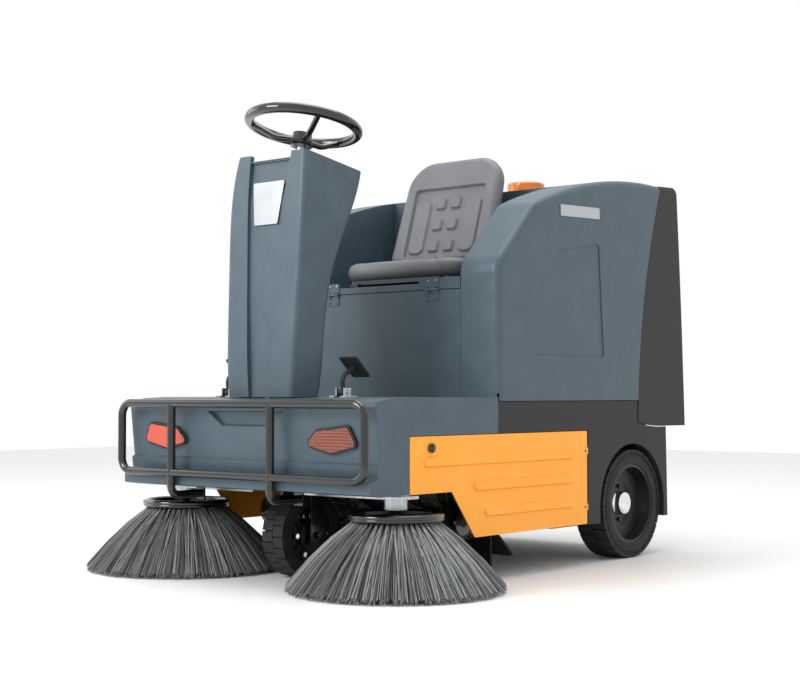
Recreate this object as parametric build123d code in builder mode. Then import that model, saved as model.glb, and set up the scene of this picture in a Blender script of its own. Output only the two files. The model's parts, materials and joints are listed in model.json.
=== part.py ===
"""Ride-on sweeper: three-wheeled battery machine with two side brooms and a cylindrical main broom.

Units are millimetres. +Z is up, the machine drives towards -Y, and +X is the driver's left.
The origin is on the floor under the middle of the machine.
"""
import os
from math import atan2, cos, degrees, radians, sin, sqrt, tan

from build123d import *

os.makedirs("parts", exist_ok=True)

# ---------------------------------------------------------------- driving dimensions
BODY_WIDTH = 889.0            # outer width of housing and rear shell
WALL = 4.0                    # moulded shell wall
PANEL_GAP = 1.5               # gap between neighbouring body panels
FIT_GAP = 0.3                 # gap between neighbouring pieces of different bodies
SHAFT_CLEARANCE = 0.05        # radial clearance of a running shaft

DECK_Z = 476.0                # top of the foot deck
HOUSING_BOTTOM_Z = 239.0
NOSE_Y = -675.5               # upper front edge of the housing
FACE_FOOT_Y = -656.0          # where the sloping front face meets the lip
LIP_Y = -694.0                # foremost edge of the bottom lip
LIP_TOP_Z = 275.0
LEDGE_Z = 313.0               # ledge across the front face
LEDGE_DEPTH = 9.0
REAR_SHELL_FRONT_Y = -183.5   # front of the seat box and of the rear shell

WHEELBASE_REAR_Y = 500.0      # rear wheel axis
REAR_WHEEL_R = 160.0
REAR_TYRE_WIDTH = 98.0
REAR_WHEEL_OUTER_X = 432.0    # outer face of a rear wheel
FRONT_WHEEL_Y = -459.5
FRONT_WHEEL_R = 113.0
FRONT_TYRE_WIDTH = 75.0
KINGPIN_R = 15.0

SIDE_BROOM_X = 382.0
SIDE_BROOM_Y = -525.5
SIDE_BROOM_R = 275.0          # bristle circle on the floor
SIDE_BROOM_TOP_R = 115.0
SIDE_BROOM_PLATE_R = 120.0
SIDE_BROOM_TOP_Z = 174.0
SIDE_BROOM_PLATE_T = 14.0
FLOOR_GAP = 1.5               # bristle tips end this far above the floor
ARM_PIVOT_X = 95.0
ARM_PIVOT_Z = 300.0
ARM_PIVOT_R = 9.0

MAIN_BROOM_Y = -180.0
MAIN_BROOM_R = 140.0
MAIN_BROOM_CORE_R = 55.0
MAIN_BROOM_LENGTH = 600.0
MAIN_PIVOT_Y = 30.0
MAIN_PIVOT_Z = 330.0

DOOR_FRONT_Y = -546.5
DOOR_REAR_Y = 237.5
DOOR_TOP_Z = 380.0
DOOR_BOTTOM_Z = 118.0
DOOR_NOTCH_Y = -381.5         # where the low edge starts to slant down
DOOR_FOOT_Y = -286.5          # where the slant reaches the bottom edge
DOOR_SHEET = 3.0
RIB_HEIGHT = 5.0
RIB_WIDTH = 28.0

SEAT_BAY_HALF_WIDTH = 320.0
SEAT_BAY_REAR_Y = 300.0
SEAT_BOX_TOP_Z = 766.0
LID_STEP = 14.0
SEAT_HALF_WIDTH = 215.0
CUSHION_FRONT_Y = -75.0
CUSHION_REAR_Y = 150.0
CUSHION_THICKNESS = 56.0
SEAT_RAIL_HEIGHT = 16.0
SEAT_PAN_T = 12.0
BACKREST_LEAN = 17.4          # degrees from upright
BACKREST_HEIGHT = 338.0
BACKREST_FOOT_Y = 110.0
BACKREST_HALF_WIDTH = 190.0
BACKREST_TOP_HALF_WIDTH = 172.0
BACKREST_T = 42.0

DASH_TILT = 13.0              # dashboard slopes down towards the driver
STEER_TILT = 10.4             # steering shaft leans towards the driver
WHEEL_RIM_R = 146.0
WHEEL_TUBE_R = 14.0
WHEEL_CENTRE_Y = -456.5
WHEEL_CENTRE_Z = 1202.0
STEER_SHAFT_R = 10.0

GUARD_TUBE_R = 11.0
GUARD_Y = -708.0
GUARD_HALF_WIDTH = 440.0
GUARD_LOW_Z = 277.5
GUARD_HIGH_Z = 460.0
GUARD_CORNER_R = 34.0
GUARD_UPRIGHTS_X = (-239.0, 127.0)
GUARD_HOOK_Z = 218.0
GUARD_HOOK_R = 24.0

SKIRT_TOP_Z = 466.0
SKIRT_BOTTOM_Z = 115.0
SKIRT_REAR_Y = 684.0
SKIRT_T = 5.0
ARCH_R = 178.0
ARCH_Y = 487.0
LINER_R = ARCH_R + 1.0         # wheel arch liner, set just outside the skirt's arch
LINER_T = 3.0

COVER_BOTTOM_Z = 387.0
COVER_REAR_BOTTOM_Y = 800.5
COVER_HINGE_Y = 657.0
COVER_HINGE_Z = 1127.0
COVER_KNUCKLE_X = 250.0
COVER_PIN_R = 2.5

RAIL_X = 300.0                # chassis rails, centre to centre is twice this
RAIL_SIZE = 46.0
RAIL_Z = 425.0
RAIL_WALL = 3.0
SIDE_PLATE_X = 304.0          # outer face of the rear chassis plates
SIDE_PLATE_T = 6.0
HOPPER_FRONT_Y = 54.0
HOPPER_REAR_Y = 772.0
HOPPER_BOTTOM_Z = 98.0
HOPPER_TOP_Z = 372.0
HOPPER_WALL = 3.0

HALF_WIDTH = BODY_WIDTH / 2


def save(piece, name):
    """Label a finished sub-part and write it as its own STEP file."""
    piece.part.label = name
    export_step(piece.part, f"parts/{name}.step")


def save_pair(piece, name):
    """Write a left-hand sub-part and its mirror image for the right-hand side."""
    save(piece, f"{name}_left")
    with BuildPart() as other:
        mirror(piece.part, about=Plane.YZ)
    save(other, f"{name}_right")


def side_plane(x):
    """Plane across the machine at x, with local x along +Y and local y along +Z."""
    return Plane(origin=(x, 0, 0), x_dir=(0, 1, 0), z_dir=(1, 0, 0))


def face_y(z):
    """Y of the sloping front face at height z."""
    share = (z - LIP_TOP_Z) / (DECK_Z - 15 - LIP_TOP_Z)
    return FACE_FOOT_Y + (NOSE_Y - FACE_FOOT_Y) * share


FACE_LEAN = degrees(atan2(FACE_FOOT_Y - NOSE_Y, DECK_Z - 15 - LIP_TOP_Z))


def face_plane(z, proud=0.0):
    """Plane on the sloping front face at height z, facing forwards, local y up the face."""
    lean = radians(FACE_LEAN)
    normal = (0, -cos(lean), -sin(lean))
    return Plane(origin=(0, face_y(z), z), x_dir=(1, 0, 0), z_dir=normal).offset(proud)


# ---------------------------------------------------------------- chassis
RAIL_FRONT_Y = -600.0
RAIL_REAR_Y = 690.0
DECK_PLATE_Z = RAIL_Z + RAIL_SIZE / 2      # top of the rails and of the deck plate
DECK_PLATE_T = 4.0
CROSS_LENGTH = 2 * RAIL_X - RAIL_SIZE
SIDE_PLATE_FRONT_Y = 262.0
HEAD_TUBE_R = 36.0
BEARING_R = 26.0
BEARING_HEIGHT = 14.0
HEAD_LOW_Z = 362.0
HEAD_HIGH_Z = 428.0
PILLAR_R = 22.0
PILLAR_TOP = 118.0            # distances down the steering axis from the rim plane
PILLAR_BOTTOM = 660.0
JOINT_DISTANCE = 718.0        # universal joint between the leaning shaft and the stub
SPROCKET_Z = 455.0
SPROCKET_T = 8.0
SMALL_SPROCKET_R = 19.0
BIG_SPROCKET_R = 76.0
RISER_X = 47.0
AXLE_R = 14.0
LEDGE_T = 4.0
MAIN_PIVOT_R = 8.0
HANGER_T = 6.0
MAIN_HANGER_X = 352.0
FLAP_T = 6.0
FLAP_X = 299.0
FLAP_Y = -19.0                # rear face of the upright flap
FLAP_FOOT_Z = 10.0
FLAP_TOP_Z = 134.0
LIP_FLAP_Y = 5.0              # front face of the slanting lip flap
CHEEK_X = 302.0               # middle of the cheek plates beside the broom and hopper
CHEEK_T = 4.0
CROSS_TUBE_R = 16.0           # tube that joins the main broom's arms
OUTRIGGER_YS = (-150.0, 205.0, 640.0)
SKIRT_OUTER_X = HALF_WIDTH - 2.0
SKIRT_INNER_X = SKIRT_OUTER_X - SKIRT_T

steer_axis = (0, sin(radians(STEER_TILT)), cos(radians(STEER_TILT)))


def steer_point(distance):
    """Point on the steering shaft axis, measured down from the wheel's rim plane."""
    return (
        0,
        WHEEL_CENTRE_Y - distance * steer_axis[1],
        WHEEL_CENTRE_Z - distance * steer_axis[2],
    )


def steer_plane(distance):
    """Plane square to the steering shaft, at a distance down from the rim plane."""
    return Plane(origin=steer_point(distance), x_dir=(1, 0, 0), z_dir=steer_axis)


STUB_Y = steer_point(JOINT_DISTANCE)[1]

with BuildPart() as main_frame:
    # two hollow rails joined by cross tubes and the deck plate
    with Locations(*[(sign * RAIL_X, (RAIL_FRONT_Y + RAIL_REAR_Y) / 2, RAIL_Z) for sign in (1, -1)]):
        Box(RAIL_SIZE, RAIL_REAR_Y - RAIL_FRONT_Y, RAIL_SIZE)
        Box(
            RAIL_SIZE - 2 * RAIL_WALL,
            RAIL_REAR_Y - RAIL_FRONT_Y + 1,
            RAIL_SIZE - 2 * RAIL_WALL,
            mode=Mode.SUBTRACT,
        )
    with Locations(*[(0, y, RAIL_Z) for y in (FRONT_WHEEL_Y, -10.0, RAIL_REAR_Y - 20)]):
        Box(CROSS_LENGTH, 40, 30)
    PLATE_REAR_Y = SEAT_BAY_REAR_Y - WALL
    with Locations((0, (RAIL_FRONT_Y + PLATE_REAR_Y) / 2, DECK_PLATE_Z - DECK_PLATE_T / 2)):
        Box(CROSS_LENGTH, PLATE_REAR_Y - RAIL_FRONT_Y, DECK_PLATE_T)
    with Locations((0, RAIL_FRONT_Y - HANGER_T / 2, RAIL_Z)):
        Box(2 * RAIL_X + RAIL_SIZE, HANGER_T, RAIL_SIZE)
    for x in GUARD_UPRIGHTS_X:
        with Locations((x, RAIL_FRONT_Y - HANGER_T / 2, (GUARD_HOOK_Z + RAIL_Z) / 2 - 8)):
            Box(30, HANGER_T, RAIL_Z - GUARD_HOOK_Z + 16)
    with Locations(*[(0, SIDE_BROOM_Y + dy, 407) for dy in (-42, 42)]):
        Box(CROSS_LENGTH, HANGER_T, 80)
    for sign in (1, -1):
        # rear plates that carry the stub axles and the hopper's ledges
        PLATE_LENGTH = RAIL_REAR_Y - SIDE_PLATE_FRONT_Y
        PLATE_MID_Y = (RAIL_REAR_Y + SIDE_PLATE_FRONT_Y) / 2
        LEDGE_Z0 = HOPPER_BOTTOM_Z - FIT_GAP - LEDGE_T
        with Locations((sign * (SIDE_PLATE_X - SIDE_PLATE_T / 2), PLATE_MID_Y, (LEDGE_Z0 + RAIL_Z) / 2)):
            Box(SIDE_PLATE_T, PLATE_LENGTH, RAIL_Z - LEDGE_Z0)
        with Locations((sign * (SIDE_PLATE_X - 20), PLATE_MID_Y, LEDGE_Z0 + LEDGE_T / 2)):
            Box(40, PLATE_LENGTH, LEDGE_T)
        with Locations((sign * (SIDE_PLATE_X + 8), WHEELBASE_REAR_Y, REAR_WHEEL_R)):
            Cylinder(34, 18, rotation=(0, 90, 0))
            Cylinder(AXLE_R, 60, rotation=(0, 90, 0), mode=Mode.SUBTRACT)
        # lugs for the side broom arm's pivot pin
        with Locations(*[(sign * ARM_PIVOT_X, SIDE_BROOM_Y + dy, 335) for dy in (-42, 42)]):
            Box(44, HANGER_T, 110)
        with Locations((sign * ARM_PIVOT_X, SIDE_BROOM_Y, ARM_PIVOT_Z)):
            Cylinder(ARM_PIVOT_R + SHAFT_CLEARANCE, 120, rotation=(90, 0, 0), mode=Mode.SUBTRACT)
        # hanger for the main broom's lift pivot
        with Locations((sign * MAIN_HANGER_X, MAIN_PIVOT_Y, (MAIN_PIVOT_Z + RAIL_Z) / 2 - 8)):
            Box(HANGER_T, 50, RAIL_Z - MAIN_PIVOT_Z + 34)
        with Locations((sign * (MAIN_HANGER_X - 16), MAIN_PIVOT_Y, RAIL_Z)):
            Box(32, 50, 16)
        with Locations((sign * MAIN_HANGER_X, MAIN_PIVOT_Y, MAIN_PIVOT_Z)):
            Cylinder(MAIN_PIVOT_R + SHAFT_CLEARANCE, 12, rotation=(0, 90, 0), mode=Mode.SUBTRACT)
        # cheek plate that holds the flap strips, with a window for the arms' cross tube
        with Locations((sign * CHEEK_X, 40, 255)):
            Box(CHEEK_T, 150, 310)
        with Locations((sign * CHEEK_X, MAIN_PIVOT_Y, MAIN_PIVOT_Z)):
            Cylinder(CROSS_TUBE_R + 3, 20, rotation=(0, 90, 0), mode=Mode.SUBTRACT)
        # outriggers that hold the skirts, and blocks that hold the front housing
        OUTRIGGER_INNER = RAIL_X + RAIL_SIZE / 2 - 1
        for y in OUTRIGGER_YS:
            with Locations((sign * (OUTRIGGER_INNER + SKIRT_INNER_X) / 2, y, RAIL_Z + 12)):
                Box(SKIRT_INNER_X - OUTRIGGER_INNER, 30, 8)
        with Locations(*[(sign * RAIL_X, y, (DECK_PLATE_Z + DECK_Z - WALL) / 2) for y in (-520, -210)]):
            Box(36, 30, DECK_Z - WALL - DECK_PLATE_Z)
    with Locations((0, FLAP_Y + 2, 115), (0, LIP_FLAP_Y - 2, 115)):
        Box(2 * CHEEK_X, 4, 34)
    # steering head for the front fork
    with Locations((0, FRONT_WHEEL_Y, (HEAD_LOW_Z + DECK_PLATE_Z - 1) / 2)):
        Cylinder(HEAD_TUBE_R, DECK_PLATE_Z - 1 - HEAD_LOW_Z)
        Cylinder(BEARING_R, 200, mode=Mode.SUBTRACT)
    # bearing boss for the sprocket stub
    with Locations((0, STUB_Y, DECK_PLATE_Z - 18)):
        Box(40, 40, 30)
    with Locations((0, STUB_Y, DECK_PLATE_Z)):
        Cylinder(STEER_SHAFT_R + SHAFT_CLEARANCE, 100, mode=Mode.SUBTRACT)
    # risers and steering pillar
    with Locations(*[(sign * RISER_X, STUB_Y + 8, DECK_PLATE_Z - 1 + 60) for sign in (1, -1)]):
        Box(HANGER_T, 44, 122)
    with Locations((0, STUB_Y + 8, DECK_PLATE_Z + 116)):
        Box(2 * RISER_X + HANGER_T, 44, HANGER_T)
    with BuildSketch(steer_plane(PILLAR_BOTTOM)):
        Circle(PILLAR_R)
    extrude(amount=PILLAR_BOTTOM - PILLAR_TOP)
    with BuildSketch(steer_plane(PILLAR_BOTTOM + 40)):
        Circle(STEER_SHAFT_R + SHAFT_CLEARANCE)
    extrude(amount=PILLAR_BOTTOM + 40 - PILLAR_TOP + 1, mode=Mode.SUBTRACT)
save(main_frame, "main_frame")

# ---------------------------------------------------------------- front housing
DECK_REAR_Y = REAR_SHELL_FRONT_Y - PANEL_GAP
LIP_DEPTH_Z = 6.0
SCOOP_TOP_Z = 443.0
SCOOP_BOTTOM_Z = 399.0
SCOOP_TOP_HALF = 145.0
SCOOP_BOTTOM_HALF = 88.0
SCOOP_DEPTH = 11.0
PEDAL_X = 210.0
PEDAL_Y = -529.5


def housing_outline(inset):
    """Side outline of the housing, inset by a wall thickness."""
    nose_z = DECK_Z - 15
    return [
        (FACE_FOOT_Y + 2 + inset, HOUSING_BOTTOM_Z - (1 if inset else 0)),
        (LIP_Y + inset, HOUSING_BOTTOM_Z + LIP_DEPTH_Z + inset * 0.5),
        (LIP_Y + inset, LIP_TOP_Z - inset),
        (FACE_FOOT_Y - LEDGE_DEPTH + inset, LIP_TOP_Z + 6 - inset),
        (face_y(LEDGE_Z) - LEDGE_DEPTH + inset, LEDGE_Z - inset),
        (face_y(LEDGE_Z) + inset, LEDGE_Z + 6 - inset * 0.5),
        (face_y(nose_z - 14) + inset, nose_z - 14),
        (NOSE_Y - 3 + inset, nose_z - 8),
        (NOSE_Y + 6 + inset, nose_z + 4 - inset),
        (NOSE_Y + 50 + inset, DECK_Z - 3 - inset),
        (-553.5, DECK_Z - inset),
        (DECK_REAR_Y + (1 if inset else 0), DECK_Z - inset),
        (DECK_REAR_Y + (1 if inset else 0), HOUSING_BOTTOM_Z - (1 if inset else 0)),
    ]


with BuildPart() as front_housing:
    with BuildSketch(side_plane(0)):
        with BuildLine():
            Polyline(*housing_outline(0), close=True)
        make_face()
    extrude(amount=HALF_WIDTH, both=True)
    with BuildSketch(side_plane(0)):
        with BuildLine():
            Polyline(*housing_outline(WALL), close=True)
        make_face()
    extrude(amount=HALF_WIDTH - WALL, both=True, mode=Mode.SUBTRACT)
    # backing and cut of the scoop in the middle of the face
    with BuildSketch(face_plane((SCOOP_TOP_Z + SCOOP_BOTTOM_Z) / 2, -WALL)):
        Rectangle(2 * SCOOP_TOP_HALF + 16, SCOOP_TOP_Z - SCOOP_BOTTOM_Z + 16)
    extrude(amount=-SCOOP_DEPTH)
    with BuildSketch(face_plane((SCOOP_TOP_Z + SCOOP_BOTTOM_Z) / 2, 6)):
        half = (SCOOP_TOP_Z - SCOOP_BOTTOM_Z) / 2
        Polygon(
            (-SCOOP_TOP_HALF, half), (SCOOP_TOP_HALF, half),
            (SCOOP_BOTTOM_HALF, -half), (-SCOOP_BOTTOM_HALF, -half),
            align=None,
        )
    extrude(amount=-SCOOP_DEPTH - 6, taper=20, mode=Mode.SUBTRACT)
    # sides are cut away for the side doors
    with BuildSketch(side_plane(0)):
        with Locations(((DOOR_FRONT_Y - PANEL_GAP + 0) / 2, (DOOR_TOP_Z + PANEL_GAP) / 2)):
            Rectangle(-DOOR_FRONT_Y + PANEL_GAP, DOOR_TOP_Z + PANEL_GAP)
    extrude(amount=HALF_WIDTH + 1, both=True, mode=Mode.SUBTRACT)
    # openings in the deck for the steering risers and the pedal rods
    with Locations((0, STUB_Y + 8, DECK_Z)):
        Box(2 * RISER_X + 20, 76, 40, mode=Mode.SUBTRACT)
    with Locations(*[(sign * PEDAL_X, PEDAL_Y + 3, DECK_Z) for sign in (1, -1)]):
        Box(16, 64, 20, mode=Mode.SUBTRACT)
save(front_housing, "front_housing")

# ---------------------------------------------------------------- bull bar
def add_tube(points, bend_r, tube_r, closed=False):
    """Sweep a round tube along straight runs with round bends, in the current part."""
    with BuildLine() as route:
        FilletPolyline(*points, radius=bend_r, close=closed)
    wire = route.wires()[0]
    with BuildSketch(Plane(origin=wire @ 0, z_dir=wire % 0)) as section:
        Circle(tube_r)
    sweep(sections=section.sketch, path=wire)


with BuildPart() as front_guard:
    add_tube(
        [
            (0, GUARD_Y, GUARD_LOW_Z),
            (GUARD_HALF_WIDTH, GUARD_Y, GUARD_LOW_Z),
            (GUARD_HALF_WIDTH, GUARD_Y, GUARD_HIGH_Z),
            (0, GUARD_Y, GUARD_HIGH_Z),
        ],
        GUARD_CORNER_R,
        GUARD_TUBE_R,
    )
    mirror(about=Plane.YZ)
    for x in GUARD_UPRIGHTS_X:
        add_tube(
            [
                (x, GUARD_Y, GUARD_HIGH_Z),
                (x, GUARD_Y, GUARD_HOOK_Z),
                (x, RAIL_FRONT_Y - HANGER_T, GUARD_HOOK_Z),
            ],
            GUARD_HOOK_R,
            GUARD_TUBE_R,
        )
save(front_guard, "front_guard")

# ---------------------------------------------------------------- front lights
LIGHT_Z = 376.0
LIGHT_PROUD = 7.0
BEZEL_RIM = 5.0
LIGHT_OUTLINE = [(358, 405), (381, 360), (300, 342), (217, 360), (255, 394)]


def light_points(sign):
    """Corners of one light in the face plane."""
    return [(sign * x, (z - LIGHT_Z) / cos(radians(FACE_LEAN))) for x, z in LIGHT_OUTLINE]


with BuildPart() as light_bezels:
    for sign in (1, -1):
        with BuildSketch(face_plane(LIGHT_Z)) as outer:
            Polygon(*light_points(sign), align=None)
            fillet(outer.vertices(), 9)
            offset(amount=BEZEL_RIM, kind=Kind.ARC)
        extrude(amount=LIGHT_PROUD)
        with BuildSketch(face_plane(LIGHT_Z, 2)) as pocket:
            Polygon(*light_points(sign), align=None)
            fillet(pocket.vertices(), 9)
        extrude(amount=LIGHT_PROUD, mode=Mode.SUBTRACT)
save(light_bezels, "light_bezels")

with BuildPart() as light_lenses:
    for sign in (1, -1):
        with BuildSketch(face_plane(LIGHT_Z, 2)) as lens:
            Polygon(*light_points(sign), align=None)
            fillet(lens.vertices(), 9)
            offset(amount=-FIT_GAP, kind=Kind.ARC)
        extrude(amount=LIGHT_PROUD)
save(light_lenses, "light_lenses")

# ---------------------------------------------------------------- steering column cowl and dashboard
# height, half width at the front, front face, half width at the rear, rear face
COWL_SECTIONS = [
    (DECK_Z, 115, -621.5, 138, -535.0),
    (728, 128, -613.5, 150, -512.0),
    (860, 133, -606.0, 154, -475.0),
    (984, 134, -598.0, 156, -420.0),
    (1140, 118, -573.0, 150, -384.0),
]
COWL_CORNER_R = 14.0
COWL_RECESS = 8.0
COWL_RECESS_ENDS = [(DECK_Z - 1, 37), (728, 53), (1094, 72)]
COWL_RECESS_SECTIONS = []
for low, high in zip(COWL_RECESS_ENDS, COWL_RECESS_ENDS[1:]):
    between = [s[0] for s in COWL_SECTIONS if low[0] < s[0] < high[0]]
    for height in [low[0]] + between:
        share = (height - low[0]) / (high[0] - low[0])
        COWL_RECESS_SECTIONS.append((height, low[1] + (high[1] - low[1]) * share))
COWL_RECESS_SECTIONS.append(COWL_RECESS_ENDS[-1])
COWL_RIM_Y = -575.5
COWL_RIM_Z = 1113.0
DASH_DEPTH = 24.0
DASH_T = 4.0
NOTCH_HALF = 74.0


def cowl_corners(section, inset, front_inset):
    """Four corners of one level of the cowl, inset from the outer shape."""
    height, front_half, front_y, rear_half, rear_y = section
    return [
        (-front_half + inset, front_y + front_inset),
        (front_half - inset, front_y + front_inset),
        (rear_half - inset, rear_y - inset),
        (-rear_half + inset, rear_y - inset),
    ]


def cowl_front_y(height):
    """Front face of the cowl at a height, between its levels."""
    for low, high in zip(COWL_SECTIONS, COWL_SECTIONS[1:]):
        if height <= high[0]:
            share = (height - low[0]) / (high[0] - low[0])
            return low[2] + (high[2] - low[2]) * share
    return COWL_SECTIONS[-1][2]


def rim_plane(depth):
    """Plane of the cowl's rim, sunk by a depth."""
    tilt = radians(DASH_TILT)
    normal = (0, sin(tilt), cos(tilt))
    plane = Plane(origin=(0, COWL_RIM_Y, COWL_RIM_Z), x_dir=(1, 0, 0), z_dir=normal)
    return plane.offset(-depth)


with BuildPart() as cowl_cavity:
    for section in COWL_SECTIONS:
        with BuildSketch(Plane.XY.offset(section[0])) as level:
            Polygon(*cowl_corners(section, WALL, WALL + COWL_RECESS + 1), align=None)
            fillet(level.vertices(), COWL_CORNER_R - WALL)
    loft()

with BuildPart() as column_cowl:
    for section in COWL_SECTIONS:
        with BuildSketch(Plane.XY.offset(section[0])) as level:
            Polygon(*cowl_corners(section, 0, 0), align=None)
            fillet(level.vertices(), COWL_CORNER_R)
    loft()
    add(cowl_cavity.part, mode=Mode.SUBTRACT)
    for low, high in zip(COWL_RECESS_SECTIONS, COWL_RECESS_SECTIONS[1:]):
        for height, half in (low, high):
            with BuildSketch(Plane.XY.offset(height)):
                with Locations((0, cowl_front_y(height) + COWL_RECESS / 2 - 6)):
                    Rectangle(2 * half, COWL_RECESS + 12)
        loft(mode=Mode.SUBTRACT)
    split(bisect_by=rim_plane(0), keep=Keep.BOTTOM)
    with BuildSketch(rim_plane(0)):
        with Locations((0, 0)):
            Rectangle(2 * NOTCH_HALF, 60)
    extrude(amount=-DASH_DEPTH + 6, mode=Mode.SUBTRACT)
save(column_cowl, "column_cowl")

STOP_STEM_R = 9.0
ROCKER_LIFT = 1.5             # pin height of a rocker above the dash
# across and along the sloping dash, from the middle of the cowl's front rim
DASH_ITEMS = {
    "gauge": (-84, 46),
    "key": (-84, 112),
    "light": (84, 52),
    "fan": (84, 92),
    "stop": (84, 140),
}

with BuildPart() as dash_panel:
    with BuildSketch(rim_plane(DASH_DEPTH)):
        Rectangle(400, 700)
    extrude(amount=-DASH_T)
    add(cowl_cavity.part, mode=Mode.INTERSECT)
    add(column_cowl.part, mode=Mode.SUBTRACT)
    with BuildSketch(steer_plane(PILLAR_TOP + 60)):
        Circle(PILLAR_R + 0.5)
    extrude(amount=200, both=True, mode=Mode.SUBTRACT)
    with BuildSketch(rim_plane(DASH_DEPTH)):
        with Locations(DASH_ITEMS["stop"]):
            Circle(STOP_STEM_R + SHAFT_CLEARANCE)
    extrude(amount=20, both=True, mode=Mode.SUBTRACT)
save(dash_panel, "dash_panel")



def dash_plane(item, lift=0.0):
    """Plane on the dashboard's surface at one of its controls."""
    x, y = DASH_ITEMS[item]
    plane = rim_plane(DASH_DEPTH)
    return Plane(origin=plane.from_local_coords((x, y, lift)), x_dir=plane.x_dir, z_dir=plane.z_dir)


with BuildPart() as battery_gauge:
    with BuildSketch(dash_plane("gauge")) as face:
        RectangleRounded(58, 42, 4)
    extrude(amount=6)
    with BuildSketch(dash_plane("gauge", 5)):
        RectangleRounded(46, 28, 2)
    extrude(amount=2, mode=Mode.SUBTRACT)
save(battery_gauge, "battery_gauge")

with BuildPart() as key_switch:
    with BuildSketch(dash_plane("key", FIT_GAP)):
        Circle(11)
    extrude(amount=7)
    with BuildSketch(dash_plane("key", 7)):
        RectangleRounded(5, 26, 2)
    extrude(amount=22)
save(key_switch, "key_switch")

for item, name in (("light", "light_switch"), ("fan", "fan_switch")):
    with BuildPart() as rocker:
        with BuildSketch(dash_plane(item, 1.5)):
            RectangleRounded(30, 16, 2)
        extrude(amount=6)
        with BuildSketch(dash_plane(item, 7.5)):
            Rectangle(8, 16)
        extrude(amount=3)
        # round pin the rocker tips about
        with Locations(dash_plane(item, ROCKER_LIFT)):
            Cylinder(ROCKER_LIFT - FIT_GAP, 16, rotation=(90, 0, 0))
    save(rocker, name)

with BuildPart() as emergency_stop:
    with BuildSketch(dash_plane("stop", -14)):
        Circle(STOP_STEM_R)
    extrude(amount=33)
    with BuildSketch(dash_plane("stop", 18)):
        Circle(18)
    extrude(amount=12)
    fillet(emergency_stop.faces().sort_by(Axis.Z)[-1].edges(), 4)
save(emergency_stop, "emergency_stop")

# ---------------------------------------------------------------- steering
HUB_TOP = 22.0
HUB_BOTTOM = 58.0
HUB_R = 30.0
SPOKE_R = 8.0
FORK_LEG_X = 52.0
FORK_LEG_T = 8.0
FRONT_AXLE_R = 8.0
CROWN_T = 14.0

with BuildPart() as steering_wheel:
    hub_plane = steer_plane(0)
    with Locations(hub_plane):
        Torus(WHEEL_RIM_R, WHEEL_TUBE_R)
    with BuildSketch(steer_plane(HUB_BOTTOM)):
        Circle(HUB_R)
    extrude(amount=HUB_BOTTOM - HUB_TOP, taper=6)
    for turn in (90, 210, 330):
        with BuildLine(hub_plane) as spoke:
            c, s = cos(radians(turn)), sin(radians(turn))
            FilletPolyline(
                (20 * c, 20 * s, -40), (75 * c, 75 * s, -36), (WHEEL_RIM_R * c, WHEEL_RIM_R * s, -2), radius=60
            )
        wire = spoke.wires()[0]
        with BuildSketch(Plane(origin=wire @ 0, z_dir=wire % 0)) as section:
            Circle(SPOKE_R)
        sweep(sections=section.sketch, path=wire)
save(steering_wheel, "steering_wheel")

YOKE_R = 15.0
with BuildPart() as steering_shaft:
    with BuildSketch(steer_plane(JOINT_DISTANCE - 16)):
        Circle(STEER_SHAFT_R)
    extrude(amount=JOINT_DISTANCE - 16 - HUB_BOTTOM)
    with BuildSketch(steer_plane(JOINT_DISTANCE - 14)):
        Circle(YOKE_R)
    extrude(amount=10)
    with BuildSketch(steer_plane(JOINT_DISTANCE + 4)):
        with Locations((12, 0), (-12, 0)):
            Rectangle(4, 10)
    extrude(amount=18)
save(steering_shaft, "steering_shaft")

stub_top = Plane(origin=steer_point(JOINT_DISTANCE))
with BuildPart() as sprocket_stub:
    with BuildSketch(stub_top.offset(-14)):
        Circle(YOKE_R)
    extrude(amount=-6)
    with BuildSketch(stub_top.offset(-15)):
        with Locations((0, 12), (0, -12)):
            Rectangle(10, 4)
    extrude(amount=19)
    with BuildSketch(Plane(origin=(0, STUB_Y, DECK_PLATE_Z - 40))):
        Circle(STEER_SHAFT_R)
    extrude(amount=stub_top.origin.Z - 16 - DECK_PLATE_Z + 40)
    with BuildSketch(Plane(origin=(0, STUB_Y, SPROCKET_Z))):
        Circle(SMALL_SPROCKET_R)
    extrude(amount=SPROCKET_T)
save(sprocket_stub, "sprocket_stub")

CHAIN_T = 5.0
with BuildPart() as steering_chain:
    with BuildSketch(Plane.XY.offset(SPROCKET_Z + 1)) as loop:
        with Locations((0, FRONT_WHEEL_Y)):
            Circle(BIG_SPROCKET_R + FIT_GAP)
        with Locations((0, STUB_Y)):
            Circle(SMALL_SPROCKET_R + FIT_GAP)
        make_hull()
        offset(amount=CHAIN_T)
        with Locations((0, FRONT_WHEEL_Y)):
            Circle(BIG_SPROCKET_R + FIT_GAP, mode=Mode.SUBTRACT)
        with Locations((0, STUB_Y)):
            Circle(SMALL_SPROCKET_R + FIT_GAP, mode=Mode.SUBTRACT)
        with BuildLine():
            gap = FRONT_WHEEL_Y - STUB_Y
            lean = (BIG_SPROCKET_R - SMALL_SPROCKET_R) / gap
            c = sqrt(1 - lean * lean)
            big, small = BIG_SPROCKET_R + FIT_GAP, SMALL_SPROCKET_R + FIT_GAP
            Polyline(
                (small * c, STUB_Y - small * lean), (big * c, FRONT_WHEEL_Y - big * lean),
                (-big * c, FRONT_WHEEL_Y - big * lean), (-small * c, STUB_Y - small * lean),
                close=True,
            )
        make_face(mode=Mode.SUBTRACT)
    extrude(amount=SPROCKET_T - 2)
save(steering_chain, "steering_chain")

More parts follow.
